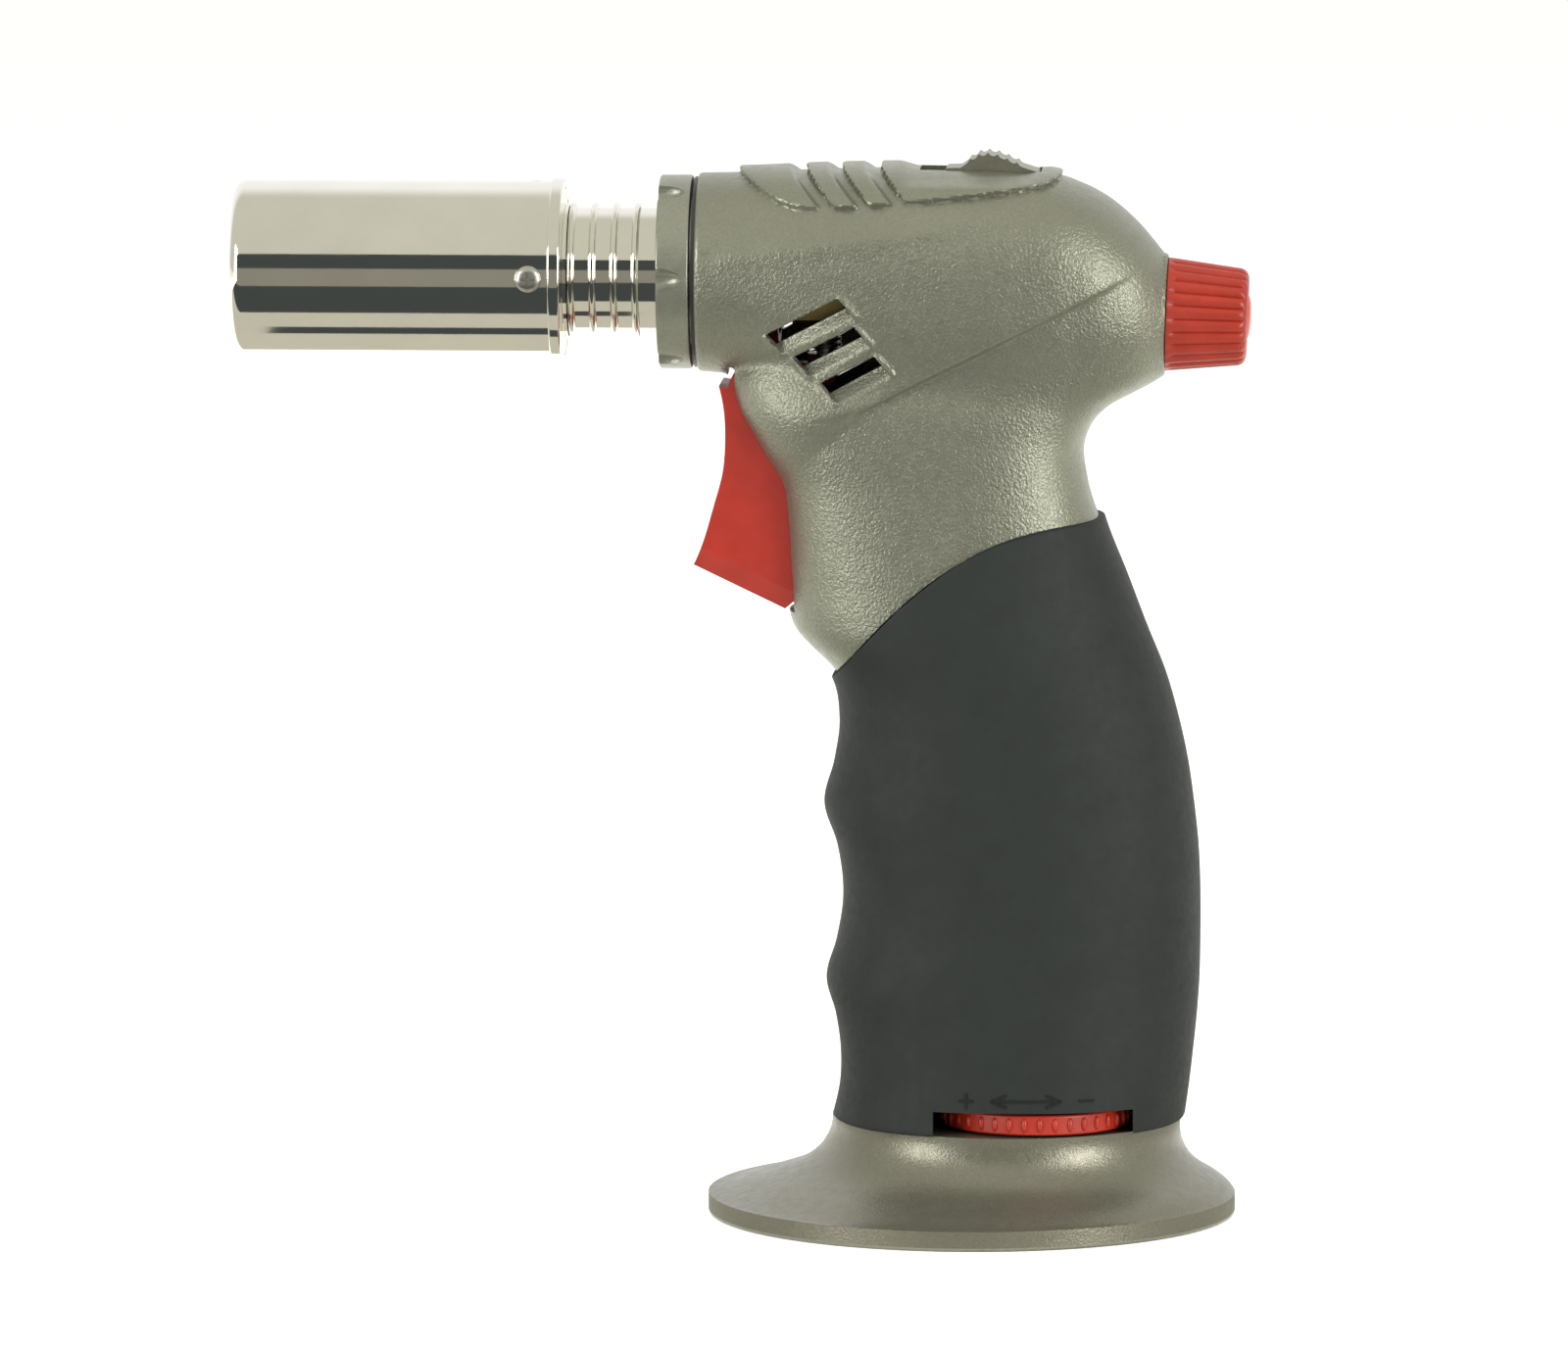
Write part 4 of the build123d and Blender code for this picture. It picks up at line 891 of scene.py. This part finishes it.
# %% [markdown]
# ## The burner
# The burner tube is drawn and plated: its mouth is rolled in and its rear is gripped by a ring.
# Mirror-bright metal shows every facet, so the tube, its ring and the neck are spun again here
# from fine profiles. The neck's round fins repeat, so Geometry Nodes set them along the axis.

# %% Spun tube and ring
burner_axis = Vector((0, 0, AXIS))
forward = (-1, 0, 0)


def arc(x, r, radius, start, end, steps):
    """Points of a profile round a corner, as (distance along, radius)."""
    turns = [math.radians(start + (end - start) * k / steps) for k in range(steps + 1)]
    return [(x + radius * math.cos(t), r + radius * math.sin(t)) for t in turns]


tube_start, tube_radius, tube_lip = 54.0, 11.9, 1.6
lip_centre = 97.6 - tube_lip
tube_profile = [(tube_start, 11.1), (tube_start, 11.8), (54.1, tube_radius)]
tube_profile += [(x, tube_radius) for x in np.linspace(56, 94, 12)]
tube_profile += arc(lip_centre, 10.3, tube_lip, 90, 0, 12)
tube_profile += arc(lip_centre, 10.3, tube_lip / 2, 0, 90, 8)
tube = spun("skin_flame_tube", burner_axis, forward, tube_profile, around=160)
finish_shading(tube, 40)
place(tube, "root", "bright_chrome", "flame_tube")
ring_profile = [(tube_start, 11.93)] + arc(54.3, 12.0, 0.3, 180, 90, 6)
ring_profile += arc(55.3, 12.0, 0.3, 90, 0, 6) + [(55.6, 11.93)]
ring = spun("skin_tube_ring", burner_axis, forward, ring_profile, around=160)
finish_shading(ring, 40)
place(ring, "root", "bright_chrome", "tube_ring")

# %% [markdown]
# The neck has four round cooling fins, all alike. They could be copied by hand, but a node tree
# with their number and pitch as inputs can be changed later in one place. Its helpers come first.

# %% Helpers for Geometry Nodes
def new_tree(name, sizes):
    """A tree with named inputs for its sizes and one for its finish."""
    tree = bpy.data.node_groups.new(name, "GeometryNodeTree")
    tree.is_modifier = True
    tree.interface.new_socket("Geometry", in_out="INPUT", socket_type="NodeSocketGeometry")
    for label, kind, value in sizes:
        tree.interface.new_socket(label, in_out="INPUT", socket_type=kind).default_value = value
    tree.interface.new_socket("Finish", in_out="INPUT", socket_type="NodeSocketMaterial")
    tree.interface.new_socket("Geometry", in_out="OUTPUT", socket_type="NodeSocketGeometry")
    return tree, tree.nodes.new("NodeGroupInput"), tree.nodes.new("NodeGroupOutput")


def step(tree, kind, settings=(), inputs=()):
    """Adds a node and joins or sets its inputs."""
    node = tree.nodes.new(kind)
    for key, value in dict(settings).items():
        setattr(node, key, value)
    for key, value in dict(inputs).items():
        if isinstance(value, bpy.types.NodeSocket):
            tree.links.new(value, node.inputs[key])
        else:
            node.inputs[key].default_value = value
    return node


def close_tree(tree, given, result, geometry):
    """Makes the instances real, gives them their finish and ends the tree."""
    real = step(tree, "GeometryNodeRealizeInstances", inputs={"Geometry": geometry})
    paint_inputs = {"Geometry": real.outputs[0], "Material": given.outputs["Finish"]}
    painted = step(tree, "GeometryNodeSetMaterial", inputs=paint_inputs)
    tree.links.new(painted.outputs[0], result.inputs["Geometry"])


def grow(name, tree, finish, **sizes):
    """Runs a tree and keeps its result as a plain mesh, in metres."""
    piece = bpy.data.objects.new(name, bpy.data.meshes.new(name))
    bpy.context.scene.collection.objects.link(piece)
    modifier = piece.modifiers.new("grow", "NODES")
    modifier.node_group = tree
    for socket in tree.interface.items_tree:
        if socket.in_out == "INPUT" and socket.name in sizes:
            modifier[socket.identifier] = sizes[socket.name]
        if socket.in_out == "INPUT" and socket.name == "Finish":
            modifier[socket.identifier] = finish
    bpy.context.view_layer.update()
    bake(piece)
    return piece


FLOAT, WHOLE = "NodeSocketFloat", "NodeSocketInt"
CIRCLE, SPREAD = "GeometryNodeCurvePrimitiveCircle", "GeometryNodeInstanceOnPoints"

# %% A tree that sets round fins along an axis
fin_tree, given, result = new_tree("round_fins", [
    ("Count", WHOLE, 4),
    ("Pitch", FLOAT, 0.00283),
    ("Radius", FLOAT, 0.0087),
    ("Thickness", FLOAT, 0.0009),
])
size = given.outputs
path = step(fin_tree, CIRCLE, inputs={"Resolution": 128, "Radius": size["Radius"]})
halve = {"operation": "MULTIPLY"}
half_thick = step(fin_tree, "ShaderNodeMath", halve, {0: size["Thickness"], 1: 0.5})
section = step(fin_tree, CIRCLE, inputs={"Resolution": 16, "Radius": half_thick.outputs[0]})
sweep = {"Curve": path.outputs[0], "Profile Curve": section.outputs[0]}
fin = step(fin_tree, "GeometryNodeCurveToMesh", inputs=sweep)
pitch = step(fin_tree, "ShaderNodeCombineXYZ", inputs={2: size["Pitch"]})
row_inputs = {"Count": size["Count"], "Offset": pitch.outputs[0]}
row = step(fin_tree, "GeometryNodeMeshLine", inputs=row_inputs)
spread = step(fin_tree, SPREAD, inputs={"Points": row.outputs[0], "Instance": fin.outputs[0]})
close_tree(fin_tree, given, result, spread.outputs[0])
print("fin tree:", len(fin_tree.nodes), "nodes")

# %% [markdown]
# The neck is turned from one bar: a slim stem with the fins, and a plug that fills the tube's rear
# end, so that no gap shows behind the ring.

# %% Neck with its fins
neck_end, first_fin, stem_radius, plug_radius, plug_end = 41.35, 44.25, 8.45, 11.05, 61.0
neck_profile = [(neck_end, 0.5), (neck_end, 8.35), (neck_end + 0.2, stem_radius)]
neck_profile += [(53.2, stem_radius), (53.3, 9.0), (54.0, 9.0)]
neck_profile += [(54.05, plug_radius), (plug_end, plug_radius), (plug_end, 0.5)]
neck = spun("skin_burner_neck", burner_axis, forward, neck_profile, around=128)
finish_shading(neck, 40)
fin_sizes = {"Count": 4, "Pitch": 2.83 * MM, "Radius": 8.62 * MM, "Thickness": 0.96 * MM}
fins = grow("fins", fin_tree, finishes["bright_chrome"], **fin_sizes)
to_first = Matrix.Translation(Vector((-first_fin, 0, AXIS)) * MM)
fins.data.transform(to_first @ Matrix.Rotation(-math.pi / 2, 4, "Y"))


fix_outside(fins)
fins.data.shade_smooth()
join(neck, fins)
place(neck, "root", "bright_chrome", "burner_neck")

# %% [markdown]
# The air collar is turned by finger and thumb, so its front edge has six notches, each shaped like
# a bullet that came in from the front. A spun bullet cuts each one, which gives the real, sharp
# meeting of two round surfaces.

# %% Air collar with its bullet-shaped notches
collar_start, backward = Vector((-41.3, 0, AXIS)), (1, 0, 0)
collar_profile = [(0.0, 9.4), (0.0, 12.45), (0.08, 12.68), (0.3, 12.8)]
collar_profile += [(4.0, 12.8), (4.22, 12.68), (4.3, 12.45), (4.3, 9.4)]
collar = spun("skin_air_collar", collar_start, backward, collar_profile, around=160)
notch_count, notch_depth_radius, bullet_length, bullet_radius = 6, 12.95, 3.5, 1.6
bullet = [(-0.5, 1.62)]
for t in np.linspace(0.05, 0.985, 10):
    bullet.append((bullet_length * t, bullet_radius * math.sqrt(1 - t**1.9)))
for turn in range(notch_count):
    angle = math.radians(360 / notch_count * turn + 90)
    outward = Vector((0, math.sin(angle), math.cos(angle)))
    middle = collar_start + outward * notch_depth_radius
    notch = spun("notch", middle, backward, bullet, around=40, closed=False)
    combine(collar, notch, "DIFFERENCE")
finish_shading(collar, 35)
place(collar, "air_collar", "grey_plastic", "air_collar", finish=own_finish["air_collar"])

# %% [markdown]
# Three small pan-head screws hold the tube on the neck. Each is a spun dome with a cross recess,
# cut by two bars. As there are only three, and each needs its own cuts, a loop sets them.

# %% Tube screws
def cross_screw(radius, height, recess):
    """A pan head standing on Z = 0, with a cross recess, in millimetres."""
    profile = [(-0.3, radius), (height * 0.25, radius)]
    for t in np.linspace(0.2, 1.45, 7):
        rise, reach = 0.25 + 0.75 * math.sin(t), 0.35 + 0.65 * math.cos(t)
        profile.append((height * rise, radius * reach))
    head = spun("screw", (0, 0, 0), (0, 0, 1), profile, around=40, closed=False)
    arm = 0.34
    for width, depth in ((recess, arm), (arm, recess)):
        x, y = width / 2, depth / 2
        combine(head, block(-x, x, -y, y, height * 0.35, height * 2), "DIFFERENCE")
    finish_shading(head, 40)
    return head


heads = []
for angle in (-90, 30, 150):
    head = cross_screw(1.75, 0.85, 2.0)
    turn = math.radians(angle)
    outward = Vector((0, math.sin(turn), math.cos(turn)))
    spot = Vector((-58.1, 0, AXIS)) + outward * tube_radius
    facing = outward.to_track_quat("Z", "X").to_matrix().to_4x4()
    head.data.transform(Matrix.Translation(spot * MM) @ facing)
    heads.append(head)
screws = heads[0]
join(screws, *heads[1:])
screws.name = "skin_tube_screws"
place(screws, "root", "steel", "tube_screws")

# %% [markdown]
# ## The thumb slide
# The lock slide is a tab with a low mound behind it. Six ridges across the mound stop the thumb
# from slipping. Its outline is the same right across, so it is one prism with a stem below.

# %% Thumb slide
slide_outline = [(-3.6, 137.35), (-3.6, 139.1), (-3.4, 139.35), (-1.6, 139.4)]
mound_x = np.linspace(-1.6, 8.6, 60)
mound_places = [-1.6, -0.4, 0.8, 2.0, 3.4, 5.0, 6.6, 8.6]
mound_heights = [139.4, 140.2, 140.9, 141.1, 140.85, 140.2, 139.5, 138.9]
mound = np.interp(mound_x, mound_places, mound_heights)
ridge_places = [-0.3, 0.85, 2.05, 3.3, 4.6, 5.9]
ridge_height, ridge_width = 0.33, 0.24
ridges = sum(ridge_height * np.exp(-(((mound_x - at) / ridge_width) ** 2)) for at in ridge_places)
slide_outline += [(float(x), float(z)) for x, z in zip(mound_x[1:], (mound + ridges)[1:])]
slide_outline += [(8.8, 138.7), (8.8, 137.35)]
slide = side_cutter(slide_outline, -3.4, 3.4)
slide.name = "skin_lock_slide"
stem = block(0.6, 4.6, -1.4, 1.4, 135.2, 137.6)
combine(slide, stem, "UNION")
finish_shading(slide, 42)
slide_paint = paint("slide_paint", linear(128, 127, 112), 3000.0, 0.00005)
place(slide, "lock_slide", "grey_plastic", "lock_slide", finish=slide_paint)

# %% [markdown]
# ## The flow wheel
# The wheel's rim carries small oval pips for the finger. There are 38 of them, so a tree sets one
# shape round a circle. Each pip has only a few dozen faces.

# %% Pips on the wheel
pip_tree, given, result = new_tree("pips", [
    ("Count", WHOLE, 38),
    ("Radius", FLOAT, 0.0124),
    ("Width", FLOAT, 0.00042),
    ("Height", FLOAT, 0.00095),
    ("Stand", FLOAT, 0.0004),
])
size = given.outputs
circle_inputs = {"Vertices": size["Count"], "Radius": size["Radius"]}
ring_points = step(pip_tree, "GeometryNodeMeshCircle", inputs=circle_inputs)
pip = step(pip_tree, "GeometryNodeMeshUVSphere", inputs={"Segments": 12, "Rings": 8, "Radius": 1.0})
where = step(pip_tree, "GeometryNodeInputPosition")
align = "FunctionNodeAlignRotationToVector"
facing = step(pip_tree, align, {"axis": "X"}, {"Vector": where.outputs[0]})
half_sizes = {0: size["Stand"], 1: size["Width"], 2: size["Height"]}
sizes = step(pip_tree, "ShaderNodeCombineXYZ", inputs=half_sizes)
spread = step(pip_tree, SPREAD, inputs={
    "Points": ring_points.outputs[0],
    "Instance": pip.outputs[0],
    "Rotation": facing.outputs[0],
    "Scale": sizes.outputs[0],
})
close_tree(pip_tree, given, result, spread.outputs[0])
print("pip tree:", len(pip_tree.nodes), "nodes")

# %% Wheel
wheel_centre = Vector((wheel_x, wheel_y, 14.85))
wheel_profile = arc(1.0, 12.0, 0.35, 0, 90, 5) + arc(-1.0, 12.0, 0.35, 90, 180, 5)
wheel_profile += [(-1.35, 1.62), (1.35, 1.62)]
wheel = spun("skin_gas_wheel", wheel_centre, (0, 0, 1), wheel_profile, around=128)
finish_shading(wheel, 40)
pip_sizes = {"Count": 38, "Radius": 12.34 * MM}
pip_sizes.update({"Width": 0.42 * MM, "Height": 0.95 * MM, "Stand": 0.42 * MM})
pips = grow("pips", pip_tree, wheel_red, **pip_sizes)
pips.data.transform(Matrix.Translation(wheel_centre * MM))
fix_outside(pips)
pips.data.shade_smooth()
join(wheel, pips)
place(wheel, "gas_wheel", "red_plastic", "gas_wheel", finish=wheel_red)

# %% [markdown]
# ## The knob
# The knob is a short cone with 24 flutes between narrow ribs, and a small domed cap in its end.
# Cutting the flutes one by one would leave rough ends, so each point's radius follows a wave.

# %% Knob with its flutes
flute_count = 24
knob_around = flute_count * 14
base_radius, front_radius, skirt, crown, corner = 7.5, 6.45, 0.34, 9.6, 1.35
knob_turns = np.linspace(0, 2 * np.pi, knob_around, endpoint=False)
side_y, side_z = Vector((0, 1, 0)), knob_way.cross(Vector((0, 1, 0)))
profile = [(0.24, 1.66), (0.24, 7.4), (skirt, base_radius)]
for k in range(1, 25):
    profile.append((skirt + (crown - skirt) * k / 24, base_radius - 1.05 * k / 24))
for t in np.linspace(0.15, math.pi / 2, 8):
    profile.append((crown + corner * math.sin(t), front_radius - corner * (1 - math.cos(t))))
profile += [(10.95, 4.2), (10.9, 3.3), (10.2, 3.22), (10.2, 1.66)]
knob_points, flute_depth = [], 0.42
for along, radius in profile:
    depth = flute_depth * ease(along, 0.5, 1.3) * (1 - ease(along, 9.9, 11.0)) * (radius > 3.5)
    wave = np.abs(np.sin(knob_turns * flute_count / 2)) ** 0.75
    for turn, rib in zip(knob_turns, wave):
        spoke = side_y * math.cos(turn) + side_z * math.sin(turn)
        knob_points.append(knob_origin + knob_way * along + spoke * (radius - depth * (1 - rib)))
knob = make_piece("skin_flame_knob", knob_points, ring_faces(len(profile), knob_around))
fix_outside(knob)
finish_shading(knob, 50)
place(knob, "flame_knob", "red_plastic", "flame_knob", finish=knob_red)
cap_radius = 3.18
cap_profile = [(10.25, cap_radius)]
for t in np.linspace(0, 1.5, 12):
    cap_profile.append((10.7 + 0.72 * math.sin(t), cap_radius * math.cos(t) ** 0.8))
cap = spun("skin_knob_cap", knob_origin, knob_way, cap_profile, around=64, closed=False)
finish_shading(cap, 50)
place(cap, "flame_knob", "red_plastic", "knob_cap", finish=cap_red)

# %% [markdown]
# ## Marks above the wheel
# A plus, a double arrow and a minus are moulded a tenth of a millimetre proud above the wheel's
# slot. Each stroke is a thin bar wrapped onto the grip, because a flat one would sink into it.

# %% Plus, arrow and minus
def grip_side(x, z):
    """Distance of the grip's near side from the middle plane at a place."""
    front, rear = read(handle_curves, z, 1), read(handle_curves, z, 2)
    half_length, half, power = (rear - front) / 2, read(handle_curves, z, 3), handle_power(z)
    return half * (1 - np.abs((x - (front + rear) / 2) / half_length) ** power) ** (1 / power)


def stroke(x0, z0, x1, z1, width=0.34, height=0.13, steps=14):
    """One bar from place to place on the grip."""
    along = np.array((x1 - x0, z1 - z0), float)
    square = np.array((-along[1], along[0])) / np.hypot(*along) * width / 2
    points, faces, sunk = [], [], 0.2
    for k in range(steps + 1):
        middle = np.array((x0, z0)) + along * k / steps
        for side, out in ((-1, -sunk), (-1, height), (1, height), (1, -sunk)):
            x, z = middle + square * side
            points.append((x, -(grip_side(x, z) + out), z))
    for k in range(steps):
        a, b = 4 * k, 4 * k + 4
        faces += [(a + i, a + (i + 1) % 4, b + (i + 1) % 4, b + i) for i in range(4)]
    faces += [(3, 2, 1, 0), (4 * steps, 4 * steps + 1, 4 * steps + 2, 4 * steps + 3)]
    bar = make_piece("stroke", points, faces, smooth=False)
    fix_outside(bar)
    return bar


mid = 18.1
marks = [stroke(*ends) for ends in (
    (-0.9, mid, 1.1, mid), (0.1, mid - 1.0, 0.1, mid + 1.0),
    (3.4, mid, 12.6, mid), (3.4, mid, 5.4, mid + 0.8), (3.4, mid, 5.4, mid - 0.8),
    (12.6, mid, 10.6, mid + 0.8), (12.6, mid, 10.6, mid - 0.8), (14.9, mid, 16.9, mid),
)]
join(marks[0], *marks[1:])
marks[0].name = "grip_marks"
mark_finish = moulded("mark_coating", linear(24, 26, 26), 0.7, gloss=0.2)
place(marks[0], "root", "grip_rubber", finish=mark_finish)
